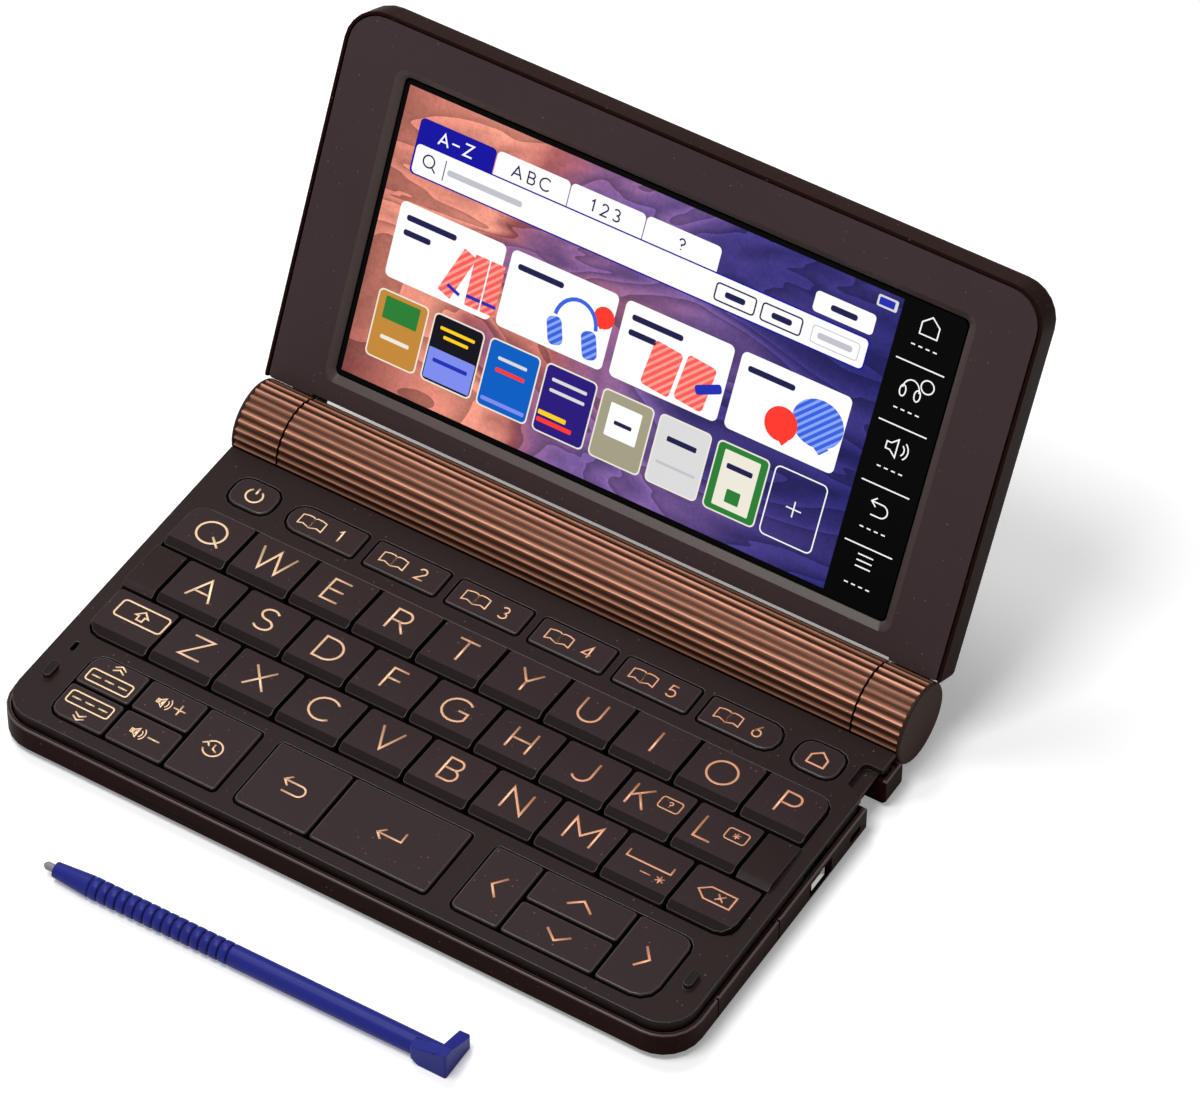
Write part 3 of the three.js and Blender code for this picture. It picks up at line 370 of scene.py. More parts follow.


# The paint is almost black and hides the plastic's shine; the rubber is duller still.
# Upper edges get a paler, shinier paint; the paler colour is a painted highlight.
case_paint = painted_abs("flaked_case_paint_on_abs", CASE_PAINT, roughness=0.42, specular=0.02)
rubber = painted_abs("moulded_rubber", RUBBER, roughness=0.7, flake_glint_share=0)
case_edge_highlight = painted_abs(
    "case_paint_with_painted_edge_highlight", CASE_EDGE_HIGHLIGHT, roughness=0.35, flake_glint_share=0, specular=0.3
)
moulded(
    "case_tray",
    "lower_case",
    "case",
    [case_paint, rubber, case_edge_highlight],
    edge=TRAY_EDGE,
    painted=lambda face: face.calc_center_median().z < FOOT_LINE * MM,
    rim=2,
    where=lambda edge: min(v.co.z for v in edge.verts) > LEDGE_HEIGHT * MM,
    clamp=False,
)

# Case screws: six steel cross-head screws that hold the case together from below.
# Their pan heads stand a little out of the flat underside.
SCREW_STEEL = "#56514f"
RECESS_SHADE = "#0c0b0b"
GRAIN_SPREAD = 0.1  # how far a metal's roughness strays from its mean
SCREW_PLACES = [(-66, -22), (66, -22), (-66, 12), (66, 12), (0, -40), (0, 14)]
SCREW_RADIUS = 1.7
SCREW_CROWN = 0.8  # the head's outer face, as a share of its width
SCREW_HEAD = 0.3
SCREW_SIDES = 24
RECESS_BAR = (2, 0.5, 0.05)
RECESS_TURNS = (30, 120)


def bare_metal(name, colour, roughness, grain_line):
    """Plain metal: lines from the tool, drawn as coarse as they need to show, soften its gloss"""
    material, tree = new_tree(name)
    place = add(tree, "ShaderNodeTexCoord").outputs["Object"]
    lines = add(
        tree,
        "ShaderNodeTexNoise",
        [(place, "Vector")],
        [("Scale", 1 / (grain_line * MM)), ("Detail", 3)],
    )
    spread = add(
        tree,
        "ShaderNodeMapRange",
        [(lines.outputs[0], "Value")],
        [("To Min", roughness - GRAIN_SPREAD), ("To Max", roughness + GRAIN_SPREAD)],
    )
    metal = add(
        tree,
        "ShaderNodeBsdfPrincipled",
        [(spread.outputs[0], "Roughness")],
        [("Base Color", linear(colour)), ("Metallic", 1)],
    )
    add(tree, "ShaderNodeOutputMaterial", [(metal.outputs[0], "Surface")])
    return material


# Blackened steel is a dark grey with a soft shine; the cross is a near-black bar, painted shade,
# as no light comes back from the recess.
screw_steel = bare_metal("blackened_steel", SCREW_STEEL, roughness=0.4, grain_line=0.2)
recess_shade = bare_metal(
    "painted_shade_in_recesses", RECESS_SHADE, roughness=0.7, grain_line=0.2
)
bm = bmesh.new()
for x, y in SCREW_PLACES:
    head = bmesh.ops.create_cone(
        bm,
        cap_ends=True,
        segments=SCREW_SIDES,
        radius1=SCREW_RADIUS * SCREW_CROWN * MM,
        radius2=SCREW_RADIUS * MM,
        depth=SCREW_HEAD * MM,
    )["verts"]
    bmesh.ops.translate(bm, verts=head, vec=Vector((x, y, -SCREW_HEAD / 2)) * MM)
    for turn in RECESS_TURNS:
        bar = bmesh.ops.create_cube(bm, size=MM)["verts"]
        bmesh.ops.scale(bm, verts=bar, vec=RECESS_BAR)
        turned = Matrix.Rotation(math.radians(turn), 3, "Z")
        bmesh.ops.rotate(bm, verts=bar, matrix=turned)
        bmesh.ops.translate(bm, verts=bar, vec=Vector((x, y, -SCREW_HEAD)) * MM)
        for face in {face for v in bar for face in v.link_faces}:
            face.material_index = 1
piece("case_screws", bm, "base", "case", screw_steel, recess_shade)

# Card slot: a narrow opening in the moulded front wall, behind which a memory card would go.
# It is drawn as a thin strip that stands a hair out of the wall, near black as painted shade of
# the opening.
SLIT_X = (-44.5, -27)
SLIT_Z = (2.05, 2.55)
SLIT_PROUD = 0.02
front_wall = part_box("lower_case")[0].y / MM


def block(x, y, z):
    """A box between two values on each axis, in millimetres"""
    bm = bmesh.new()
    bmesh.ops.create_cube(bm, size=MM)
    bmesh.ops.scale(bm, verts=bm.verts, vec=[high - low for low, high in (x, y, z)])
    middle = Vector([(low + high) / 2 for low, high in (x, y, z)]) * MM
    bmesh.ops.translate(bm, verts=bm.verts, vec=middle)
    return bm


slit = block(SLIT_X, (front_wall - SLIT_PROUD, front_wall + SLIT_PROUD), SLIT_Z)
piece("card_slot", slit, "base", "case", recess_shade)

# Circuit board: glass-epoxy laminate under green solder mask, screwed to posts in the tray.
# A folded steel connector hangs under its right edge and shows in the port.
SOLDER_MASK = "#1c4a33"
CONNECTOR_STEEL = "#b9b8b4"
CONNECTOR_FROM = 67
BOARD_EDGE = 0.05
BOARD_UNDERSIDE = 3.9
BOARD_TOP = 4.85  # the keypad's sheet of dark rubber lies on it
# Solder mask is a smooth green lacquer; bright nickel picks up the light of the room.
solder_mask = painted_abs(
    "solder_mask_on_laminate", SOLDER_MASK, roughness=0.35, flake_glint_share=0, specular=0.4
)
connector_steel = bare_metal(
    "nickel_plated_steel", CONNECTOR_STEEL, roughness=0.3, grain_line=0.3
)


def board_finish(face):
    centre = face.calc_center_median() / MM
    if centre.z > BOARD_TOP:
        return 2
    return 1 if centre.x > CONNECTOR_FROM and centre.z < BOARD_UNDERSIDE else 0


moulded(
    "main_board",
    "circuit_board",
    "board",
    [solder_mask, connector_steel, rubber],
    edge=BOARD_EDGE,
    segments=1,
    painted=board_finish,
)

# Connector shell: the mouth of the side connector, folded from nickel-plated steel sheet and
# soldered to the board. It stands in the side port, nearly flush with the case.
SHELL_X = (73.3, 74.15)
SHELL_Y = (-1.3, 3.3)
SHELL_Z = (2.5, 4.6)
SHELL_WALL = 0.45
MOUTH_DEPTH = 0.595
END_FACING = 0.9  # a face turned this far towards the case's side is an end
shell = block(SHELL_X, SHELL_Y, SHELL_Z)
opening = [face for face in shell.faces if face.normal.x > END_FACING]
bmesh.ops.inset_region(shell, faces=opening, thickness=SHELL_WALL * MM, depth=0)
bmesh.ops.translate(shell, verts=opening[0].verts, vec=(-MOUTH_DEPTH * MM, 0, 0))
# The mouth's inner face is near black, painted shade inside the port.
opening[0].material_index = 1
piece("connector_shell", shell, "base", "board", connector_steel, recess_shade)

# Deck: the plate round the keys, of the same painted ABS, with a half cap at each end of a row.
# Two rubber bumps at its front corners keep the closed lid off the keys.
DECK_PAINT = "#241818"
DECK_EDGE_HIGHLIGHT = "#33282a"
BUMP_PLACE = (69.05, -34.85)
BUMP_REACH = 2.3
BUMP_HEIGHT = 1.2
BUMP_MARGIN = 0.01  # a face this far over the deck's top is the bump's own
# The deck is less red than the tray and shines a little more; its upper edges are painted paler,
# as a highlight.
deck_paint = painted_abs("flaked_deck_paint_on_abs", DECK_PAINT, roughness=0.45)
deck_edge_highlight = painted_abs(
    "deck_paint_with_painted_edge_highlight", DECK_EDGE_HIGHLIGHT, roughness=0.28, flake_glint_share=0, specular=0.25
)
bump_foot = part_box("keyboard_frame")[1].z / MM - BUMP_HEIGHT


def on_bump(face):
    centre = face.calc_center_median() / MM
    off_bump = math.hypot(abs(centre.x) - BUMP_PLACE[0], centre.y - BUMP_PLACE[1])
    return 2 if off_bump < BUMP_REACH and centre.z > bump_foot + BUMP_MARGIN else 0


moulded(
    "key_deck",
    "keyboard_frame",
    "deck",
    [deck_paint, deck_edge_highlight, rubber],
    painted=on_bump,
    rim=1,
    clamp=False,
)

# Keycaps: forty-eight ABS caps on one rubber sheet, in the same flaked finish, a shade lighter.
# The letter keys slope up towards their front edge, and break there into a bevel, coloured darker
# as painted shade.
KEY_PAINT = "#2f2223"
KEY_EDGE = 0.14
KEY_SIDE_SHADE = "#1e1516"
KEY_EDGE_HIGHLIGHT = "#3c3133"
TOP_FACING = 0.93
# The tops take the flaked paint; the bevels and sides are painted darker as shade, and upper edges
# paler as a highlight.
key_paint = painted_abs("flaked_key_paint_on_abs", KEY_PAINT, roughness=0.45)
key_side_shade = painted_abs(
    "bare_moulded_abs", KEY_SIDE_SHADE, roughness=0.6, flake_glint_share=0, specular=0.05
)
key_edge_highlight = painted_abs(
    "key_paint_with_painted_edge_highlight", KEY_EDGE_HIGHLIGHT, roughness=0.3, flake_glint_share=0, specular=0.25
)
for node in sorted(n for n in nodes if n.startswith("key_")):
    moulded(
        node.replace("key_", "cap_"),
        node,
        "keys",
        [key_paint, key_side_shade, key_edge_highlight],
        edge=KEY_EDGE,
        painted=lambda face: face.normal.z < TOP_FACING,
        rim=2,
    )

# Homing bars: short ribs moulded on the front bevels of F and J, felt by the forefingers.
# They are part of the cap, of the same ABS, and take the paler colour of its upper edges, a
# painted highlight.
HOMING_BAR = (2.4, 0.5, 0.45)
HOMING_ROUND = 0.15
HOMING_SETBACK = 1.3  # from the cap's front face
HOMING_HEIGHT = 9.02
BEVEL_DEGREES = 26
for node in ("key_f", "key_j"):
    low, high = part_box(node)
    bm = bmesh.new()
    bmesh.ops.create_cube(bm, size=MM)
    bmesh.ops.scale(bm, verts=bm.verts, vec=HOMING_BAR)
    bmesh.ops.bevel(
        bm,
        geom=bm.edges[:],
        offset=HOMING_ROUND * MM,
        affect="EDGES",
        segments=2,
        profile=0.5,
        material=-1,
    )
    tilt = Matrix.Rotation(math.radians(BEVEL_DEGREES), 3, "X")
    bmesh.ops.rotate(bm, verts=bm.verts, matrix=tilt)
    place = Vector(((low.x + high.x) / 2, low.y + HOMING_SETBACK * MM, HOMING_HEIGHT * MM))
    bmesh.ops.translate(bm, verts=bm.verts, vec=place)
    piece(node.replace("key_", "homing_bar_"), bm, node, "keys", key_edge_highlight)

# Legends: hot-stamped copper foil, a hair proud of each cap, drawn as single strokes.
# The foil is painted paler towards the left end of the keyboard, as painted light that falls off
# to the right.
FOIL_LEFT = "#f0cfa8"
FOIL_RIGHT = "#dc9a76"
FOIL_LIGHT_FALLOFF = (-70, 30)  # across the keyboard
FOIL_GRAIN = 0.3  # coarser than the real foil's, so that it shows
FOIL_BUMP = 0.01
FOIL_HEIGHT = 0.03
LETTER_HALF = 2.78  # half of a capital's height
LETTER_STROKE = 0.27  # half of a stroke's width
ICON_STROKE = 0.2
BOX_STROKE = 0.16
LETTER_DROP = 5.25  # from a letter cap's back edge to its legend's middle
SLOPE_BACK_TOP = 8.96
SLOPE_FRONT_TOP = 9.6
SLOPE_RUN = 10.26
SAME_POINT = 0.01  # ends nearer than this close a line


def arc(x, y, radius, start, end, height=None, steps=14):
    height = radius if height is None else height
    angles = [math.radians(start + (end - start) * i / steps) for i in range(steps + 1)]
    return [(x + radius * math.cos(a), y + height * math.sin(a)) for a in angles]


def ring(x, y, radius, height=None):
    return arc(x, y, radius, 0, 360, height, steps=28)


def frame_line(x, y, half_width, half_height, corner):
    """A rounded rectangle's line about a centre"""
    dx, dy = half_width - corner, half_height - corner
    corners = [(dx, dy, 0), (-dx, dy, 90), (-dx, -dy, 180), (dx, -dy, 270)]
    line = [p for cx, cy, a in corners for p in arc(x + cx, y + cy, corner, a, a + 90, steps=4)]
    return line + line[:1]


CAPITALS = {
    "a": [[(-0.92, -1), (0, 1), (0.92, -1)], [(-0.6, -0.33), (0.6, -0.33)]],
    "b": [
        [(-0.62, -1), (-0.62, 1), *arc(0.1, 0.53, 0.44, 90, -90, 0.47), (-0.62, 0.06)],
        [*arc(0.14, -0.47, 0.5, 90, -90, 0.53), (-0.62, -1)],
    ],
    "c": [arc(0.08, 0, 1.06, 45, 315)],
    "d": [[(-0.8, -1), (-0.8, 1), *arc(-0.08, 0, 1, 90, -90), (-0.8, -1)]],
    "e": [[(0.66, 1), (-0.66, 1), (-0.66, -1), (0.66, -1)], [(-0.66, 0.02), (0.56, 0.02)]],
    "f": [[(0.62, 1), (-0.5, 1), (-0.5, -1)], [(-0.5, 0.02), (0.52, 0.02)]],
    "g": [[*arc(0, 0, 1.06, 45, 322), (0.84, -0.02), (0.1, -0.02)]],
    "h": [[(-0.76, -1), (-0.76, 1)], [(0.76, -1), (0.76, 1)], [(-0.76, 0), (0.76, 0)]],
    "i": [[(0, -1), (0, 1)]],
    "j": [[(0.5, 1), *arc(-0.18, -0.3, 0.68, 0, -145, 0.7)]],
    "k": [[(-0.62, -1), (-0.62, 1)], [(0.66, 1), (-0.6, -0.16)], [(-0.14, 0.26), (0.72, -1)]],
    "l": [[(-0.6, 1), (-0.6, -1), (0.66, -1)]],
    "m": [[(-1, -1), (-1, 1), (0, -0.32), (1, 1), (1, -1)]],
    "n": [[(-0.78, -1), (-0.78, 1), (0.78, -1), (0.78, 1)]],
    "o": [ring(0, 0, 1.06)],
    "p": [[(-0.6, -1), (-0.6, 1), *arc(0.18, 0.47, 0.5, 90, -90, 0.53), (-0.6, -0.06)]],
    "q": [ring(0, 0, 1.06), [(0.3, -0.3), (1.12, -1.08)]],
    "r": [
        [(-0.6, -1), (-0.6, 1), *arc(0.18, 0.47, 0.5, 90, -90, 0.53), (-0.6, -0.06)],
        [(0.08, -0.06), (0.78, -1)],
    ],
    "s": [[*arc(0, 0.5, 0.6, 28, 270, 0.5), *arc(0, -0.5, 0.66, 90, -152, 0.5)[1:]]],
    "t": [[(-0.77, 1), (0.77, 1)], [(0, 1), (0, -1)]],
    "u": [[(-0.8, 1), *arc(0, -0.22, 0.8, 180, 360), (0.8, 1)]],
    "v": [[(-0.84, 1), (0, -1), (0.84, 1)]],
    "w": [[(-1.32, 1), (-0.66, -1), (0, 1), (0.66, -1), (1.32, 1)]],
    "x": [[(-0.8, -1), (0.8, 1)], [(-0.8, 1), (0.8, -1)]],
    "y": [[(-0.8, 1), (0, -0.05), (0.8, 1)], [(0, -0.05), (0, -1)]],
    "z": [[(-0.76, 1), (0.8, 1), (-0.8, -1), (0.82, -1)]],
    "1": [[(-0.35, 0.6), (0.1, 1), (0.1, -1)]],
    "2": [[*arc(0, 0.42, 0.56, 160, -30, 0.58), (-0.6, -1), (0.64, -1)]],
    "3": [arc(-0.06, 0.5, 0.52, 150, -90, 0.5), arc(-0.04, -0.5, 0.6, 90, -150, 0.5)],
    "4": [[(0.64, -0.45), (-0.7, -0.45), (0.28, 1), (0.28, -1)]],
    "5": [[(0.5, 1), (-0.42, 1), (-0.5, 0.14), *arc(-0.06, -0.36, 0.64, 115, -150, 0.62)]],
    "6": [[(0.3, 1), *arc(0, -0.36, 0.6, 158, 518, 0.62)]],
    "?": [arc(0, 0.4, 0.5, 170, -90, 0.5) + [(0, -0.4)], [(0, -0.8), (0, -1)]],
    "*": [[(math.cos(a), math.sin(a)), (-math.cos(a), -math.sin(a))] for a in (0.52, 1.57, 2.62)],
}


def moved(lines, x, y, size=1):
    """Lines about the origin, enlarged and brought to a place"""
    return [[(x + u * size, y + v * size) for u, v in line] for line in lines]


def glyph(name, x, y, half_height):
    return moved(CAPITALS[name], x, y, half_height)


def strokes(lines, half_width):
    """A flat mesh of mitred strokes along lines of points in millimetres"""
    curve = bpy.data.curves.new("strokes", "CURVE")
    curve.dimensions = "2D"
    curve.fill_mode = "NONE"
    curve.bevel_depth = half_width * MM
    curve.bevel_resolution = 1
    curve.use_fill_caps = True
    for line in lines:
        closed = len(line) > 3 and (Vector(line[0]) - Vector(line[-1])).length < SAME_POINT
        points = line[:-1] if closed else line
        spline = curve.splines.new("POLY")
        spline.use_cyclic_u = closed
        spline.points.add(len(points) - 1)
        for made, (x, y) in zip(spline.points, points):
            made.co = (x * MM, y * MM, 0, 1)
    drawn = bpy.data.objects.new("strokes", curve)
    mesh = bpy.data.meshes.new_from_object(drawn)
    bpy.data.objects.remove(drawn)
    bm = bmesh.new()
    bm.from_mesh(mesh)
    bmesh.ops.remove_doubles(bm, verts=bm.verts, dist=WELD * MM)
    bpy.data.meshes.remove(mesh)
    return bm


def stamp(node, groups, sloping):
    """Foil on a cap: groups of lines with their half widths, on its sloping or its flat top"""
    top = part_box(node)[1]
    rise = (SLOPE_FRONT_TOP - SLOPE_BACK_TOP) / SLOPE_RUN
    whole = bmesh.new()
    for lines, half_width in groups:
        bm = strokes(lines, half_width)
        bmesh.ops.scale(bm, verts=bm.verts, vec=(1, 1, FOIL_HEIGHT / half_width))
        for v in bm.verts:
            v.co.z += SLOPE_BACK_TOP * MM + (top.y - v.co.y) * rise if sloping else top.z
        part = bpy.data.meshes.new("part")
        bm.to_mesh(part)
        whole.from_mesh(part)
        bm.free()
        bpy.data.meshes.remove(part)
    piece(node.replace("key_", "legend_"), whole, node, "keys", foil)


# Hot-stamped foil is smooth and pale, with a faint metallic sheen over a fine grain.
foil, tree = new_tree("hot_stamped_copper_foil")
place = add(tree, "ShaderNodeTexCoord").outputs["Object"]
along = add(tree, "ShaderNodeSeparateXYZ", [(place, 0)]).outputs[0]
# Painted light: the foil's colour grows paler towards the left.
share = add(
    tree,
    "ShaderNodeMapRange",
    [(along, "Value")],
    [("From Min", FOIL_LIGHT_FALLOFF[0] * MM), ("From Max", FOIL_LIGHT_FALLOFF[1] * MM)],
).outputs[0]
tint = add(
    tree,
    "ShaderNodeMix",
    [(share, 0)],
    [(6, linear(FOIL_LEFT)), (7, linear(FOIL_RIGHT))],
    data_type="RGBA",
)
grain = add(tree, "ShaderNodeTexNoise", [(place, 0)], [("Scale", 1 / (FOIL_GRAIN * MM))])
bump = add(
    tree,
    "ShaderNodeBump",
    [(grain.outputs[0], "Height")],
    [("Strength", 0.1), ("Distance", FOIL_BUMP * MM)],
)
metal = add(
    tree,
    "ShaderNodeBsdfPrincipled",
    [(tint.outputs[2], "Base Color"), (bump.outputs[0], "Normal")],
    [("Metallic", 0.25), ("Roughness", 0.4)],
)
add(tree, "ShaderNodeOutputMaterial", [(metal.outputs[0], "Surface")])

icon, box = ICON_STROKE, BOX_STROKE
for node in sorted(n for n in nodes if n.startswith("key_")):
    low, high = (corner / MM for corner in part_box(node))
    x, y = (low.x + high.x) / 2, (low.y + high.y) / 2
    name = node.removeprefix("key_")
    sloping = len(name) == 1 or name in ("shift", "space", "delete")
    if sloping:
        y = high.y - LETTER_DROP
    if len(name) == 1:
        aside = {"k": -2.75, "l": -2.25}.get(name, 0)  # these two share their cap with a mark
        groups = [(glyph(name, x + aside, y, LETTER_HALF), LETTER_STROKE)]
        if aside:
            x, y = x + 3, high.y - 4
            mark = glyph({"k": "?", "l": "*"}[name], x, y, 0.75)
            groups += [([frame_line(x, y, 2.15, 1.45, 0.6)], box), (mark, box)]
    elif name == "shift":
        x, y = x + 1, y + 1.1
        arrow = [(0, 1.3), (1.35, -0.05), (0.62, -0.05), (0.62, -1.2)]
        arrow += [(-u, v) for u, v in reversed(arrow[1:])] + arrow[:1]
        groups = [(moved([arrow], x, y), icon), ([frame_line(x, y, 5.2, 2.25, 0.8)], box * 1.4)]
    elif name == "space":
        bracket = [(-4.6, 1.6), (-4.6, -0.1), (4.6, -0.1), (4.6, 1.6)]
        dash = [(-0.6, -2.2), (1.6, -2.2)]
        star = glyph("*", x + 3.6, y - 2.2, 0.95)
        groups = [(moved([bracket], x, y), icon * 1.1), (moved([dash], x, y) + star, icon * 0.8)]
    elif name == "delete":
        body = [(-3.6, 0), (-1.7, 1.6), (3.6, 1.6), (3.6, -1.6), (-1.7, -1.6), (-3.6, 0)]
        cross = [[(0.2, 0.8), (1.8, -0.8)], [(0.2, -0.8), (1.8, 0.8)]]
        groups = [(moved([body, *cross], x, y), icon)]
    elif name.startswith("function"):
        page = [(0, -1), (0, 1.25), *[(0.5 + 0.5 * i, 1.55) for i in range(3)], (2.6, 1.25)]
        page += [(2.6, -1.1), (1.5, -0.75), (0, -1.3)]
        book = moved([[(-u, v) for u, v in page], page], x - 3, y)
        groups = [(book, box), (glyph(name[-1], x + 3.3, y, 1.4), icon)]
    elif name == "power":
        groups = [([arc(x, y, 1.7, 125, 415), [(x, y + 2.1), (x, y + 0.5)]], icon * 1.15)]
    elif name == "home":
        house = [(-1.75, -1.6), (-1.75, 0.4), (0, 1.8), (1.75, 0.4), (1.75, -1.6)]
        groups = [(moved([house + house[:1]], x, y), icon * 1.15)]
    elif name in ("previous", "next"):
        side = 1 if name == "previous" else -1
        middle = y - 1.1 * side
        dashes = [[(x + u - 1, middle), (x + u + 1, middle)] for u in (-2.9, 0, 2.9)]
        steps = [[(-1.2, v), (0, v + 0.75), (1.2, v)] for v in (1.7, 2.6)]
        steps = [[(x + u, y + side * v) for u, v in step] for step in steps]
        groups = [([frame_line(x, middle, 4.65, 1.5, 0.6)], box * 1.2)]
        groups += [(dashes, icon), (steps, icon)]
    elif name.startswith("volume"):
        x, y = x - 0.6, y + 0.1
        horn = [(-2.25, 0.45), (-1.6, 0.45), (-0.8, 1.15)]
        horn += [(u, -v) for u, v in reversed(horn)] + horn[:1]
        groups = [(moved([horn], x, y), box * 0.8)]
        groups += [(moved([[(-2.1, 0), (-1.45, 0)]], x, y), 0.4)]
        groups += [(moved([[(-1.05, 0.6), (-1.05, -0.6)]], x, y), 0.28)]
        groups += [([arc(x - 0.7, y, r, -55, 55, r * 1.15) for r in (0.85, 1.45)], box * 0.9)]
        sign = [[(1.4, 0), (4, 0)]]
        if name.endswith("up"):
            sign.append([(2.7, 1.3), (2.7, -1.3)])
        groups += [(moved(sign, x, y), icon)]
    elif name == "history":
        face = [arc(x, y, 1.9, 150, -160), *moved([[(0, 1.1), (0, -0.1), (1, -0.6)]], x, y)]
        hand = moved([[(-2.5, 0.3), (-1.65, 1), (-0.95, 0.1)]], x, y)
        groups = [(face + hand, icon)]
    elif name == "back":
        bend = [(-2.4, 1), *arc(1.4, -0.3, 1.3, 90, -90), (-1.6, -1.6)]
        tip = [(-1.2, 2.2), (-2.4, 1), (-1.2, -0.2)]
        groups = [(moved([bend, tip], x, y), icon * 1.15)]
    elif name == "enter":
        bend = [(2.6, 1.7), (2.6, -0.6), (-2.4, -0.6)]
        tip = [(-1.1, 0.7), (-2.4, -0.6), (-1.1, -1.9)]
        groups = [(moved([bend, tip], x, y), icon * 1.15)]
    else:
        turn = {"left": 90, "right": 270, "up": 0, "down": 180}[name]
        spin = Matrix.Rotation(math.radians(turn), 2)
        chevron = [spin @ Vector(p) for p in [(-2.5, -1), (0, 1), (2.5, -1)]]
        groups = [(moved([chevron], x, y), LETTER_STROKE)]
    stamp(node, groups, sloping)

# Barrel: a round tube with 28 flutes over the cells, in a copper metallic lacquer, its colour
# painted darker towards the grooves' floor as shade. The lid's two hinge ends turn beside it,
# each closed by a disc of dark bronze.
RIDGE_COPPER = "#a67560"
GROOVE_SHADE_COPPER = "#3a1f15"
BRONZE = "#33211a"
GROOVE_DEPTH = 0.36
GRAIN_LINE = 0.25  # the die's lines, drawn as coarse as they need to show
LINE_STRETCH = 0.05  # the lines run along the tube
LINE_TONE = (0.6, 1.4)
LINE_HEIGHT = 0.03
FLUTE_EDGE = 0.05
DISC_FROM = 72.55
OPEN_DEGREES = 64.6
hinge = Vector(next(j for j in frame["joints"] if j["name"] == "lid_hinge")["pos_m"])
tube_low, tube_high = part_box("hinge_barrel_left")
tube_radius = (tube_high.z - tube_low.z) / 2


def lacquered_metal(name, ridge, groove, roughness, metallic):
    """Metallic lacquer over a fluted tube, with fine lines along it from the drawing die; the
    groove colour is painted shade towards the flutes' floor
    """
    material, tree = new_tree(name)
    place = add(tree, "ShaderNodeTexCoord").outputs["Object"]
    about_axis = add(
        tree,
        "ShaderNodeMapping",
        [(place, 0)],
        [("Location", (0, -hinge.y, -hinge.z)), ("Scale", (0, 1, 1))],
        vector_type="POINT",
    )
    out = add(tree, "ShaderNodeVectorMath", [(about_axis.outputs[0], 0)], operation="LENGTH")
    # Painted shade: the colour darkens from the ridge colour to the groove colour towards the
    # flutes' floor.
    height = add(
        tree,
        "ShaderNodeMapRange",
        [(out.outputs["Value"], "Value")],
        [("From Min", tube_radius - GROOVE_DEPTH * MM), ("From Max", tube_radius)],
        interpolation_type="SMOOTHSTEP",
    )
    stretch = add(
        tree,
        "ShaderNodeMapping",
        [(place, 0)],
        [("Scale", (LINE_STRETCH, 1, 1))],
        vector_type="POINT",
    )
    fine = add(
        tree,
        "ShaderNodeTexNoise",
        [(stretch.outputs[0], "Vector")],
        [("Scale", 1 / (GRAIN_LINE * MM)), ("Detail", 3)],
    )
    tone = add(
        tree,
        "ShaderNodeMapRange",
        [(fine.outputs[0], "Value")],
        [("To Min", LINE_TONE[0]), ("To Max", LINE_TONE[1])],
    )
    mixed = add(
        tree,
        "ShaderNodeMix",
        [(height.outputs[0], 0)],
        [(6, linear(groove)), (7, linear(ridge))],
        data_type="RGBA",
    )
    colours = add(
        tree,
        "ShaderNodeHueSaturation",
        [(tone.outputs[0], "Value"), (mixed.outputs[2], "Color")],
    )
    bump = add(
        tree,
        "ShaderNodeBump",
        [(fine.outputs[0], "Height")],
        [("Strength", 0.2), ("Distance", LINE_HEIGHT * MM)],
    )
    metal = add(
        tree,
        "ShaderNodeBsdfPrincipled",
        [(colours.outputs[0], "Base Color"), (bump.outputs[0], "Normal")],
        [("Metallic", metallic), ("Roughness", roughness), ("Specular IOR Level", 0.1)],
    )
    add(tree, "ShaderNodeOutputMaterial", [(metal.outputs[0], "Surface")])
    return material


# The lacquer is copper on the ridges and painted darker, as shade, in the grooves; the discs are
# almost matt.
copper = lacquered_metal(
    "copper_metallic_lacquer", RIDGE_COPPER, GROOVE_SHADE_COPPER, roughness=0.42, metallic=0.5
)
bronze = lacquered_metal("dark_bronze_lacquer", BRONZE, BRONZE, roughness=0.55, metallic=0)
for node in ["battery_barrel", "hinge_barrel_left", "hinge_barrel_right"]:
    moulded(
        node.replace("barrel", "tube"),
        node,
        "barrel",
        [copper, bronze],
        edge=FLUTE_EDGE,
        segments=1,
        painted=lambda face: abs(face.calc_center_median().x) > DISC_FROM * MM,
    )

# Cells: two nickel-plated steel cans end to end, each in a printed plastic sleeve.
SLEEVE = "#23304a"
CELL_STEEL = "#c4c2bd"
NUB_RADIUS = 3
CELL_EDGE = 0.3
# The sleeve is glossy printed film; the plated ends are bright.
sleeve = painted_abs(
    "printed_shrink_sleeve", SLEEVE, roughness=0.3, flake_glint_share=0, specular=0.4
)
cell_steel = bare_metal("nickel_plated_can", CELL_STEEL, roughness=0.25, grain_line=0.4)


def on_cell_end(face):
    centre = face.calc_center_median()
    off_axis = math.hypot(centre.y - hinge.y, centre.z - hinge.z)
    return abs(face.normal.x) > END_FACING or off_axis < NUB_RADIUS * MM


moulded(
    "cell_pair",
    "battery_cells",
    "cells",
    [sleeve, cell_steel],
    edge=CELL_EDGE,
    painted=on_cell_end,
)

# Lid: a rear cover and a front frame of the painted ABS, snapped and screwed together.
# The frame slopes down to the screen, and its lower slope catches the light from above.
BEZEL_PAINT = "#403234"
SLOPE_SHEEN_PAINT = "#443937"
POCKET_HALF_WIDTH = 62.4
POCKET_ENDS = (12.4, 78.4)  # along the lid, from the hinge's axis
SLOPE_TILT = (0.15, 0.97)  # how much a slope faces the front, between a wall and the flat frame
on_lid = Matrix.Translation(hinge) @ Matrix.Rotation(math.radians(OPEN_DEGREES), 4, "X")


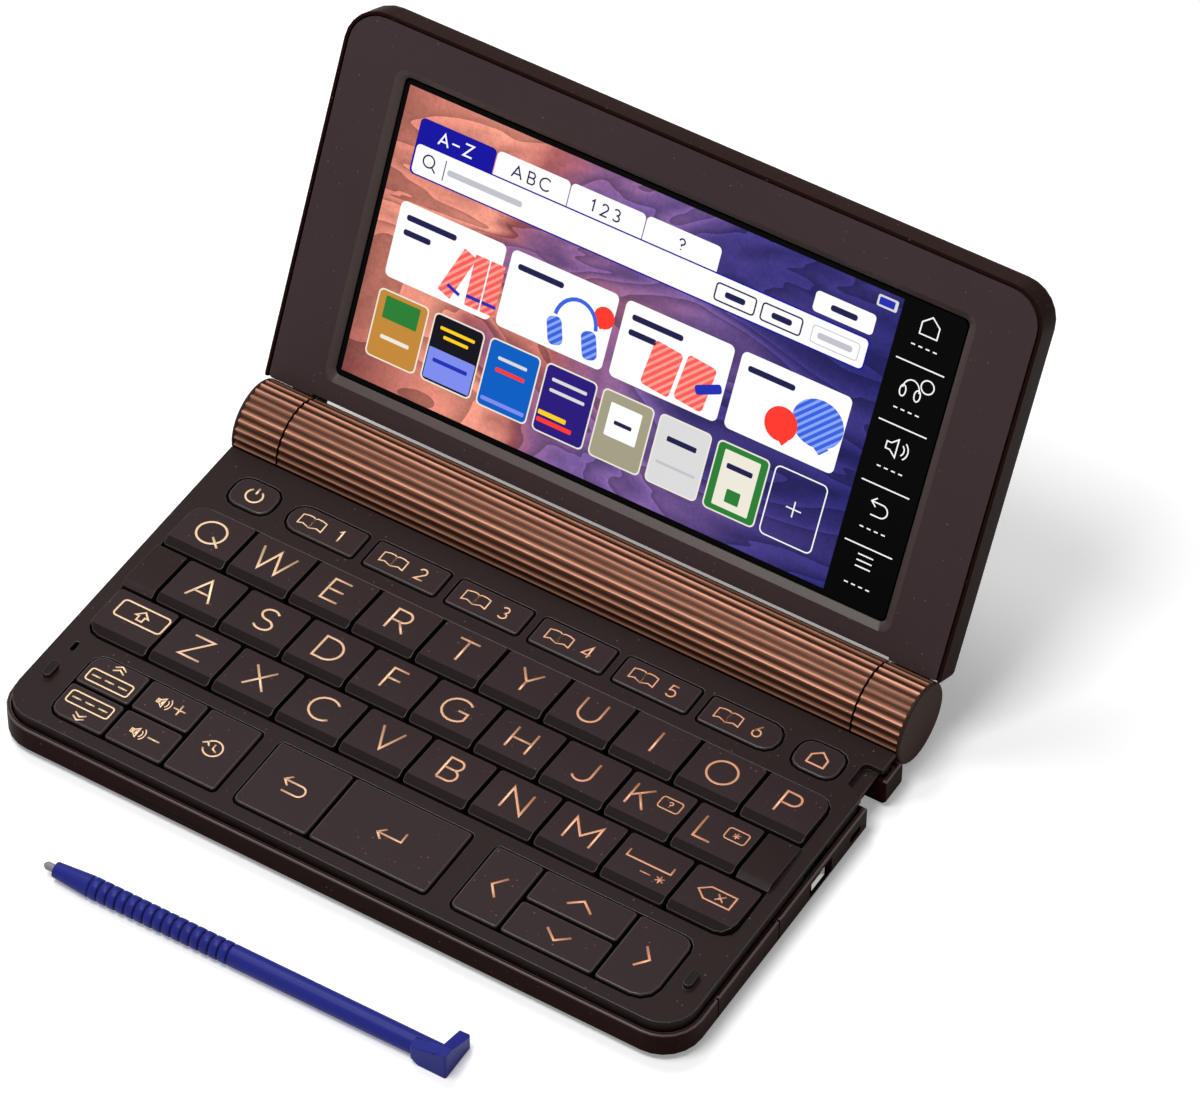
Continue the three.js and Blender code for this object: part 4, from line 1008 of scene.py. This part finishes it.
def on_slope(face):
    """Whether a face of the frame is one of the slopes round the screen"""
    across, along, _ = (on_lid.inverted() @ face.calc_center_median()) / MM
    tilt = (on_lid.to_3x3().inverted() @ face.normal).z
    inside = abs(across) < POCKET_HALF_WIDTH and POCKET_ENDS[0] < along < POCKET_ENDS[1]
    return inside and SLOPE_TILT[0] < tilt < SLOPE_TILT[1]


# The frame's paint is lighter than the case's; its slopes are satin, with no flake to be seen, and
# a little paler as painted sheen.
bezel_paint = painted_abs("flaked_bezel_paint_on_abs", BEZEL_PAINT, roughness=0.42)
slope_sheen_paint = painted_abs(
    "satin_slope_paint_with_painted_sheen", SLOPE_SHEEN_PAINT, roughness=0.35, flake_glint_share=0, specular=0.2
)
moulded("lid_shell", "lid_rear_cover", "case", [case_paint], clamp=False)
moulded("lid_bezel", "lid_front_frame", "bezel", [bezel_paint, slope_sheen_paint], painted=on_slope)

# Screen: a colour LCD under touch glass, lit from behind, with the picture set in black glass.
# It shows a plain start page of the kind such a reader has, with pictures and no words.
SCREEN_FACE = -2.5  # the glass, along the lid's own normal
LAYER = 0.012
GLASS_BLACK = "#020203"
PAGE_COLOURS = {
    "lit_white": "#ffffff",
    "lit_navy": "#1410a0",
    "lit_grey": "#c3c3cc",
    "lit_ink": "#20204e",
    "lit_blue": "#3b66e0",
    "lit_deep_blue": "#2430b4",
    "lit_amber": "#c58a3a",
    "lit_near_black": "#14121c",
    "lit_periwinkle": "#7f8df0",
    "lit_azure": "#0a5fc4",
    "lit_violet": "#2c1a7c",
    "lit_olive_grey": "#a5a085",
    "lit_pale_grey": "#dcdcdc",
    "lit_green": "#2c8036",
    "lit_cream": "#efeadb",
    "lit_red": "#ff3b30",
    "lit_yellow": "#ffd21e",
}


def glass_over(name, colour):
    """Touch glass, black and glossy, with a colour of the lit panel shining through it"""
    material, tree = new_tree(name)
    pane = add(
        tree,
        "ShaderNodeBsdfPrincipled",
        [],
        [("Base Color", linear(GLASS_BLACK)), ("Roughness", 0.12), ("Specular IOR Level", 0.04)],
    )
    if colour:
        pane.inputs["Emission Color"].default_value = linear(colour)
        pane.inputs["Emission Strength"].default_value = 1
    add(tree, "ShaderNodeOutputMaterial", [(pane.outputs[0], "Surface")])
    return material, tree, pane


glass = glass_over("black_touch_glass", None)[0]
nodes["display_panel"].data.materials.clear()
nodes["display_panel"].data.materials.append(glass)
lit = {name: glass_over(name, colour)[0] for name, colour in PAGE_COLOURS.items()}

# Wallpaper of the page: soft slanting bands that go from coral at the left to deep blue.
WALLPAPER_MEAN = "#804060"
WALLPAPER = [
    (0, "#8a4a48"),
    (0.14, "#e08a78"),
    (0.3, "#f09a86"),
    (0.38, "#a85c5c"),
    (0.47, "#93628c"),
    (0.6, "#7a5c9c"),
    (0.75, "#453a82"),
    (1, "#2c2a72"),
]
WALLPAPER_ENDS = (-30, 90)  # across the screen, from its middle
FOLD_SHIFT = 0.09  # how far the folds push the colours aside
FOLD_WIDTH = 26
FOLD_DEGREES = -50
FOLD_STRETCH = (0.4, 1.1, 1)
BANDS = 11
BAND_TONE = (1.2, 0.55)
SPECKLE_WIDTH = 1.6
SPECKLE_TONE = (0.85, 1.15)
picture, tree, pane = glass_over("lit_wallpaper", WALLPAPER_MEAN)
place = add(tree, "ShaderNodeTexCoord").outputs["Object"]
flat_map = add(
    tree,
    "ShaderNodeMapping",
    [(place, 0)],
    [("Rotation", (math.radians(-OPEN_DEGREES), 0, 0))],
    vector_type="POINT",
)
slant = add(
    tree,
    "ShaderNodeMapping",
    [(flat_map.outputs[0], 0)],
    [("Rotation", (0, 0, math.radians(FOLD_DEGREES))), ("Scale", FOLD_STRETCH)],
    vector_type="POINT",
)
folds = add(
    tree,
    "ShaderNodeTexNoise",
    [(slant.outputs[0], "Vector")],
    [("Scale", 1 / (FOLD_WIDTH * MM)), ("Detail", 3), ("Roughness", 0.45), ("Distortion", 0.9)],
)
layers = add(
    tree, "ShaderNodeMath", [(folds.outputs[0], 0)], [(1, BANDS)], operation="MULTIPLY"
)
layer = add(tree, "ShaderNodeMath", [(layers.outputs[0], 0)], operation="FRACT")
speckle = add(
    tree,
    "ShaderNodeTexNoise",
    [(flat_map.outputs[0], "Vector")],
    [("Scale", 1 / (SPECKLE_WIDTH * MM)), ("Detail", 4), ("Roughness", 0.6), ("Distortion", 1.5)],
)
across = add(tree, "ShaderNodeSeparateXYZ", [(flat_map.outputs[0], 0)]).outputs[0]
shift = add(
    tree,
    "ShaderNodeMath",
    [(folds.outputs[0], 0), (across, 2)],
    [(1, FOLD_SHIFT)],
    operation="MULTIPLY_ADD",
)
share = add(
    tree,
    "ShaderNodeMapRange",
    [(shift.outputs[0], "Value")],
    [("From Min", WALLPAPER_ENDS[0] * MM), ("From Max", WALLPAPER_ENDS[1] * MM)],
)
hues = add(tree, "ShaderNodeValToRGB", [(share.outputs[0], 0)])
ramp = hues.color_ramp.elements
for position, _ in WALLPAPER[1:-1]:
    ramp.new(position)
for element, (position, colour) in zip(ramp, WALLPAPER):
    element.position = position
    element.color = linear(colour)
bands = add(
    tree,
    "ShaderNodeMapRange",
    [(layer.outputs[0], "Value")],
    [("To Min", BAND_TONE[0]), ("To Max", BAND_TONE[1])],
)
grains = add(
    tree,
    "ShaderNodeMapRange",
    [(speckle.outputs[0], "Value")],
    [
        ("From Min", 0.3),
        ("From Max", 0.7),
        ("To Min", SPECKLE_TONE[0]),
        ("To Max", SPECKLE_TONE[1]),
    ],
)
shade = add(
    tree,
    "ShaderNodeMath",
    [(bands.outputs[0], 0), (grains.outputs[0], 1)],
    operation="MULTIPLY",
)
image = add(
    tree,
    "ShaderNodeHueSaturation",
    [(hues.outputs[0], "Color"), (shade.outputs[0], "Value")],
)
tree.links.new(image.outputs[0], pane.inputs["Emission Color"])
lit[picture.name] = picture

# Figures on the page's cards: plain shapes filled with slanting stripes in two tones.
STRIPE_PITCH = 1.2
STRIPE_DEGREES = 45
LIGHT_FROM = 0.6
WAVE_SCALE = math.tau / 20  # a wave texture's scale for one band in each unit


def striped(name, light, dark):
    """The lit panel again, in stripes of a light and a dark tone"""
    material, tree, pane = glass_over(name, light)
    place = add(tree, "ShaderNodeTexCoord").outputs["Object"]
    turned = add(
        tree,
        "ShaderNodeMapping",
        [(place, 0)],
        [("Rotation", (math.radians(-OPEN_DEGREES), 0, 0))],
        vector_type="POINT",
    )
    slanted = add(
        tree,
        "ShaderNodeMapping",
        [(turned.outputs[0], 0)],
        [("Rotation", (0, 0, math.radians(STRIPE_DEGREES)))],
        vector_type="POINT",
    )
    wave = add(
        tree,
        "ShaderNodeTexWave",
        [(slanted.outputs[0], "Vector")],
        [("Scale", WAVE_SCALE / (STRIPE_PITCH * MM))],
        bands_direction="X",
    )
    hard = add(
        tree,
        "ShaderNodeMath",
        [(wave.outputs[1], 0)],
        [(1, LIGHT_FROM)],
        operation="GREATER_THAN",
    )
    mixed = add(
        tree,
        "ShaderNodeMix",
        [(hard.outputs[0], 0)],
        [(6, linear(dark)), (7, linear(light))],
        data_type="RGBA",
    )
    tree.links.new(mixed.outputs[2], pane.inputs["Emission Color"])
    lit[name] = material


striped("lit_coral_stripes", "#ff9d92", "#fb5f58")
striped("lit_blue_stripes", "#86a6ff", "#3c62dc")

# Page: flat plates on numbered layers, just far enough apart to be drawn one over the other.
# A row gives x from and to, y from and to, corner, layer, colour and, where it has one, turn.
PLATES = [
    (-59.1, 46.9, 15.7, 75.1, 0, 1, "lit_wallpaper"),
    (-55.2, -38.5, 63.5, 70.1, 1, 2, "lit_navy"),
    (-38.3, -22.4, 63.5, 70.1, 1, 2, "lit_white"),
    (-22.2, -6.1, 63.5, 70.1, 1, 2, "lit_white"),
    (-5.9, 10.1, 63.5, 70.1, 1, 2, "lit_white"),
    (-55.2, 42.8, 58.7, 65.2, 1, 3, "lit_navy"),
    (-54.8, 42.5, 59, 64.9, 0.9, 4, "lit_white"),
    (30.1, 42.7, 65.9, 70, 0.8, 3, "lit_white"),
    (-48.2, -48, 59.8, 63.9, 0, 5, "lit_ink"),
    (-47.4, -31, 61.2, 62.4, 0.5, 5, "lit_grey"),
    (32.5, 39.8, 61.2, 62.4, 0.5, 5, "lit_grey"),
    (33.6, 39.2, 67.3, 68.5, 0.5, 5, "lit_ink"),
    (12.9, 17.2, 61.2, 62.4, 0.5, 5, "lit_ink"),
    (22.8, 27.1, 61.2, 62.4, 0.5, 5, "lit_ink"),
    (41.9, 46.1, 71.9, 74.2, 0.4, 2, "lit_pale_grey"),
    (42.3, 45.5, 72.3, 73.8, 0.2, 3, "lit_deep_blue"),
    (-42, -38.9, 38.5, 48.9, 0.2, 3, "lit_coral_stripes", -20),
    (-42, -38.9, 40, 40.7, 0, 4, "lit_deep_blue", -20),
    (-37.6, -34.5, 38.5, 48.9, 0.2, 3, "lit_coral_stripes"),
    (-37.6, -34.5, 40, 40.7, 0, 4, "lit_deep_blue"),
    (-34.2, -31.1, 38.5, 48.9, 0.2, 3, "lit_coral_stripes"),
    (-34.2, -31.1, 40, 40.7, 0, 4, "lit_deep_blue"),
    (1.4, 7.7, 38.3, 47.6, 0.8, 3, "lit_coral_stripes", -6),
    (8.6, 14.9, 38.3, 47.6, 0.8, 3, "lit_coral_stripes", -6),
    (11.8, 17.4, 42, 43.9, 0.6, 4, "lit_deep_blue", 24),
    (-19.9, -16.7, 38.4, 44, 1.2, 4, "lit_blue_stripes", 18),
    (-12.4, -9.2, 38.4, 44, 1.2, 4, "lit_blue_stripes", 18),
]
CARDS_X = [-55.1, -30.5, -5.6, 19.3]
CARD_WIDTH = 23.3
CARD_Y = (37.4, 53.1)
CARD_CORNER = 1.2
TITLE_ROWS = [[11, 6], [10], [11, 6], [10]]  # the lengths of the dark bars on each card
TITLE_INSET = (1.8, 2.9)
TITLE_PITCH = 3
TITLE_HALF = 0.6
TITLE_CORNER = 0.5
TILES_X = [-55.3, -42.9, -30.5, -18.1, -5.7, 6.7, 19.2]
TILE_WIDTH = 11.2
TILE_Y = (20.8, 34.9)
TILE_RIM = 0.3
TILE_CORNERS = (1.1, 0.9)
PANEL_CORNER = 0.25
TAIL_LAYER = 4
TAILS = [  # x, y, half width, height and colour of each speech bubble's point
    (31.2, 39.9, 1.2, 2.6, "lit_red"),
    (-9.6, 46, 0.8, 1.8, "lit_red"),
    (38.6, 41.6, 2, 3.4, "lit_blue_stripes"),
]
BUBBLES = [  # x, y, radius, sides, width, height, layer and colour
    (30.2, 42.6, 3.4, 28, 1, 1, 4, "lit_red"),
    (-9.2, 47.6, 2.2, 28, 1, 1, 4, "lit_red"),
    (37.2, 45.6, 5.1, 36, 1.05, 0.92, 3, "lit_blue_stripes"),
]


def plate(x0, x1, y0, y1, corner, layer, kind, turn=0):
    """A rounded rectangle on a layer of the page"""
    made = bmesh.ops.create_grid(page, x_segments=1, y_segments=1, size=0.5 * MM)["verts"]
    bmesh.ops.scale(page, verts=made, vec=(x1 - x0, y1 - y0, 1))
    if corner:
        made = bmesh.ops.bevel(
            page,
            geom=made,
            offset=corner * MM,
            affect="VERTICES",
            segments=4,
            profile=0.5,
            material=-1,
        )["verts"]
    face = made[0].link_faces[0]
    face.material_index = list(lit).index(kind)
    spin = Matrix.Rotation(math.radians(turn), 4, "Z")
    shift = Matrix.Translation(Vector(((x0 + x1) / 2, (y0 + y1) / 2, layer * LAYER)) * MM)
    bmesh.ops.transform(page, matrix=shift @ spin, verts=face.verts)


page = bmesh.new()
for row in PLATES:
    plate(*row)
for x0, lengths in zip(CARDS_X, TITLE_ROWS):
    plate(x0, x0 + CARD_WIDTH, *CARD_Y, CARD_CORNER, 2, "lit_white")
    for row, length in enumerate(lengths):
        left, y = x0 + TITLE_INSET[0], CARD_Y[1] - TITLE_INSET[1] - TITLE_PITCH * row
        ends = (left, left + length, y - TITLE_HALF, y + TITLE_HALF)
        plate(*ends, TITLE_CORNER, 3, "lit_ink")
for x, y, wide, tall, kind in TAILS:
    tail = [(x - wide, y), (x + wide / 5, y - tall / 2), (x + wide, y), (x, y + tall / 2)]
    corners = [page.verts.new(Vector((u, v, TAIL_LAYER * LAYER)) * MM) for u, v in tail]
    page.faces.new(corners).material_index = list(lit).index(kind)
COVERS = [  # a cover's colour, then its panels: colour, left, bottom, right and top as shares
    ("lit_amber", [("lit_green", 0.14, 0.6, 0.86, 0.94), ("lit_cream", 0.2, 0.3, 0.8, 0.36)]),
    (
        "lit_near_black",
        [
            ("lit_periwinkle", 0.02, 0.03, 0.98, 0.5),
            ("lit_yellow", 0.14, 0.8, 0.86, 0.85),
            ("lit_yellow", 0.24, 0.68, 0.76, 0.73),
            ("lit_deep_blue", 0.14, 0.3, 0.86, 0.36),
        ],
    ),
    (
        "lit_azure",
        [
            ("lit_pale_grey", 0.2, 0.74, 0.8, 0.79),
            ("lit_red", 0.2, 0.56, 0.8, 0.62),
            ("lit_periwinkle", 0.05, 0.08, 0.95, 0.14),
        ],
    ),
    (
        "lit_violet",
        [
            ("lit_pale_grey", 0.14, 0.78, 0.86, 0.83),
            ("lit_pale_grey", 0.14, 0.62, 0.86, 0.67),
            ("lit_yellow", 0.03, 0.24, 0.6, 0.31),
            ("lit_red", 0.03, 0.13, 0.75, 0.2),
        ],
    ),
    (
        "lit_olive_grey",
        [("lit_white", 0.18, 0.36, 0.82, 0.86), ("lit_ink", 0.32, 0.56, 0.68, 0.62)],
    ),
    (
        "lit_pale_grey",
        [("lit_ink", 0.2, 0.66, 0.8, 0.74), ("lit_grey", 0.1, 0.3, 0.9, 0.34)],
    ),
    (
        "lit_green",
        [
            ("lit_cream", 0.14, 0.08, 0.86, 0.92),
            ("lit_ink", 0.24, 0.66, 0.76, 0.74),
            ("lit_green", 0.36, 0.18, 0.64, 0.38),
        ],
    ),
]
for x0, (cover, panels) in zip(TILES_X, COVERS):
    low, high = TILE_Y
    plate(x0, x0 + TILE_WIDTH, low, high, TILE_CORNERS[0], 2, "lit_cream")
    x0, x1 = x0 + TILE_RIM, x0 + TILE_WIDTH - TILE_RIM
    low, high = low + TILE_RIM, high - TILE_RIM
    plate(x0, x1, low, high, TILE_CORNERS[1], 3, cover)
    wide, tall = x1 - x0, high - low
    for layer, (panel, u0, v0, u1, v1) in enumerate(panels, start=4):
        ends = (x0 + u0 * wide, x0 + u1 * wide, low + v0 * tall, low + v1 * tall)
        plate(*ends, PANEL_CORNER, layer, panel)
for x, y, radius, sides, wide, tall, layer, kind in BUBBLES:
    made = bmesh.ops.create_circle(
        page, cap_ends=True, segments=sides, radius=radius * MM
    )["verts"]
    made[0].link_faces[0].material_index = list(lit).index(kind)
    bmesh.ops.scale(page, verts=made, vec=(wide, tall, 1))
    bmesh.ops.translate(page, verts=made, vec=Vector((x, y, layer * LAYER)) * MM)
bmesh.ops.translate(page, verts=page.verts, vec=(0, 0, SCREEN_FACE * MM))
bmesh.ops.transform(page, matrix=on_lid, verts=page.verts)
piece("screen_page", page, "lid", "glass", *lit.values())

# Marks on the page and the touch keys beside it: printed icons as single strokes.
MARK_LAYER = 6
KEYS_X = 53.2
TAB_Y = 67.5
TAB_MARK = 1.15
TAB_MARKS = {"a": -33.5, "b": -30.4, "c": -27.4, "1": -17, "2": -14.5, "3": -11.9, "?": 2.1}
house = [(-1.8, -1.8), (-1.8, 0.5), (0, 2), (1.8, 0.5), (1.8, -1.8)]
phones = [arc(-0.4, 59.2, 1.7, 180, 0, 2), ring(-1.9, 58.6, 0.6, 1.1)]
phones += [ring(1.1, 58.6, 0.6, 1.1), ring(2.6, 61, 1.3)]
speaker = [(-2.1, 0.7), (-1.2, 0.7), (0.1, 1.8)]
speaker += [(u, -v) for u, v in reversed(speaker)] + speaker[:1]
sound = [arc(0.3, 47.5, radius, -50, 50) for radius in (1.3, 2.1)]
bend = [(-1.7, 36), *arc(0.5, 34.7, 1.3, 90, -90), (-1.4, 33.4)]
tip = [(-0.8, 36.9), (-1.8, 36), (-0.8, 35.1)]
menu = [[(-1.6, y), (1.6, y)] for y in (25.2, 24, 22.8)]
white_lines = [[(48.3, y), (58.3, y)] for y in (64.2, 51.7, 39.3, 26.9)]
white_lines += moved([house + house[:1]], KEYS_X, 72)
white_lines += moved([speaker], KEYS_X, 47.5)
white_lines += moved([*phones, *sound, bend, tip, *menu], KEYS_X, 0)
white_lines += [frame_line(37.1, 27.85, 5.5, 7, 1.1)]
white_lines += moved([[(-1.6, 0), (1.6, 0)], [(0, 1.6), (0, -1.6)]], 37.1, 27.85)
for y in (67.8, 55, 43, 30.5, 19):
    dashes = [[(1.5 * i - 2.8, 0), (1.5 * i - 2, 0)] for i in range(4)]
    white_lines += moved(dashes, KEYS_X, y)
dark_lines = [ring(-51.6, 62.3, 1.2), [(-50.8, 61.4), (-49.9, 60.5)]]
dark_lines += [frame_line(x, 61.8, 4.2, 1.7, 0.6) for x in (15.1, 24.9)]
for mark, x in TAB_MARKS.items():
    dark_lines += glyph(mark, x, TAB_Y, TAB_MARK)
pale_lines = [frame_line(36.2, 61.8, 4.9, 1.7, 0.6)]
blue_lines = [arc(-14.6, 44, 4.4, 175, 5, 4.9)]
tab_lines = glyph("a", -49.6, TAB_Y, TAB_MARK) + glyph("z", -44.2, TAB_Y, TAB_MARK)
tab_lines += [[(-47.8, TAB_Y), (-46.2, TAB_Y)]]
for name, lines, half_width, kind in [
    ("screen_icons", white_lines, 0.13, "lit_white"),
    ("screen_marks", dark_lines, 0.16, "lit_ink"),
    ("screen_faint_button", pale_lines, 0.09, "lit_grey"),
    ("screen_headband", blue_lines, 0.4, "lit_blue"),
    ("screen_tab_mark", tab_lines, 0.17, "lit_white"),
]:
    bm = strokes(lines, half_width)
    bmesh.ops.scale(bm, verts=bm.verts, vec=(1, 1, LAYER / half_width / 2))
    bmesh.ops.translate(bm, verts=bm.verts, vec=(0, 0, (SCREEN_FACE + MARK_LAYER * LAYER) * MM))
    bmesh.ops.transform(bm, matrix=on_lid, verts=bm.verts)
    piece(name, bm, "lid", "glass", lit[kind])

# Stylus: a blue ABS shaft with a ringed grip and a hooked head, and a grey acetal nib.
# Both are moulded and left unpainted, so they are a little glossier than the case.
STYLUS_BLUE = "#242982"
GROOVE_SHADE_BLUE = "#0f1244"
NIB_GREY = "#85858c"
HEAD_FROM = 32.4
HEAD_EDGE = 0.3
HEAD_EDGE_LENGTH = 1.2  # the shorter edges stay as they are
NIB_EDGE = 0.2
NIB_TIP = (-47.3, -68.8, 1.35)
STYLUS_TURN = 0.7
RING_FROM = 10.6  # from the nib's tip
RING_PITCH = 2
RINGS = 15
RING_SIDES = 48
GROOVE_RADIUS = 1.87
BURIED_RADIUS = 1.4
RING_RISE = [(0, 0), (0.16, 0.03), (0.24, 0.19), (0.4, 0.28)]  # along the grip, and outwards
RING_FALL = [(1.6, 0.28), (1.76, 0.19), (1.84, 0.03)]


def on_head(edge):
    ends = [v.co.x for v in edge.verts]
    return min(ends) > HEAD_FROM * MM and edge.calc_length() > HEAD_EDGE_LENGTH * MM


# Bare ABS has a soft shine of its own; the darker blue in the grooves is painted shade, as little
# light reaches them.
blue_abs = painted_abs(
    "moulded_blue_abs", STYLUS_BLUE, roughness=0.36, flake_glint_share=0, specular=0.12
)
groove_shade_abs = painted_abs(
    "blue_abs_in_painted_groove_shade", GROOVE_SHADE_BLUE, roughness=0.5, flake_glint_share=0, specular=0.05
)
grey_acetal = painted_abs(
    "moulded_grey_acetal", NIB_GREY, roughness=0.45, flake_glint_share=0, specular=0.4
)
moulded(
    "stylus_shaft",
    "stylus_body",
    "stylus",
    [blue_abs],
    edge=HEAD_EDGE,
    segments=3,
    where=on_head,
    clamp=False,
)
profile = [
    (RING_FROM + RING_PITCH * ring + u, GROOVE_RADIUS + v)
    for ring in range(RINGS)
    for u, v in RING_RISE + RING_FALL
]
last = RING_FROM + RING_PITCH * RINGS
profile += [(last, GROOVE_RADIUS), (last, BURIED_RADIUS), (RING_FROM, BURIED_RADIUS)]
bm = bmesh.new()
corners = [bm.verts.new((u * MM, 0, v * MM)) for u, v in profile]
sides = [bm.edges.new((corners[i - 1], corners[i])) for i in range(len(corners))]
bmesh.ops.spin(
    bm,
    geom=corners + sides,
    cent=(0, 0, 0),
    axis=(1, 0, 0),
    angle=math.tau,
    steps=RING_SIDES,
    use_merge=True,
)
bmesh.ops.recalc_face_normals(bm, faces=bm.faces)
for face in bm.faces:
    face.smooth = True
    radius = math.hypot(*face.calc_center_median().yz) / MM
    # Faces near the grooves' floor take the painted groove shade.
    face.material_index = 1 if radius < GROOVE_RADIUS + RING_RISE[2][1] / 2 else 0
for e in bm.edges:
    e.smooth = e.calc_face_angle(0) < math.radians(SHARP_DEGREES)
turned = Matrix.Rotation(math.radians(STYLUS_TURN), 4, "Z")
bmesh.ops.transform(bm, matrix=Matrix.Translation(Vector(NIB_TIP) * MM) @ turned, verts=bm.verts)
piece("stylus_grip_rings", bm, "stylus", "stylus", blue_abs, groove_shade_abs)
moulded("stylus_nib", "stylus_tip", "tip", [grey_acetal], edge=NIB_EDGE, segments=3)
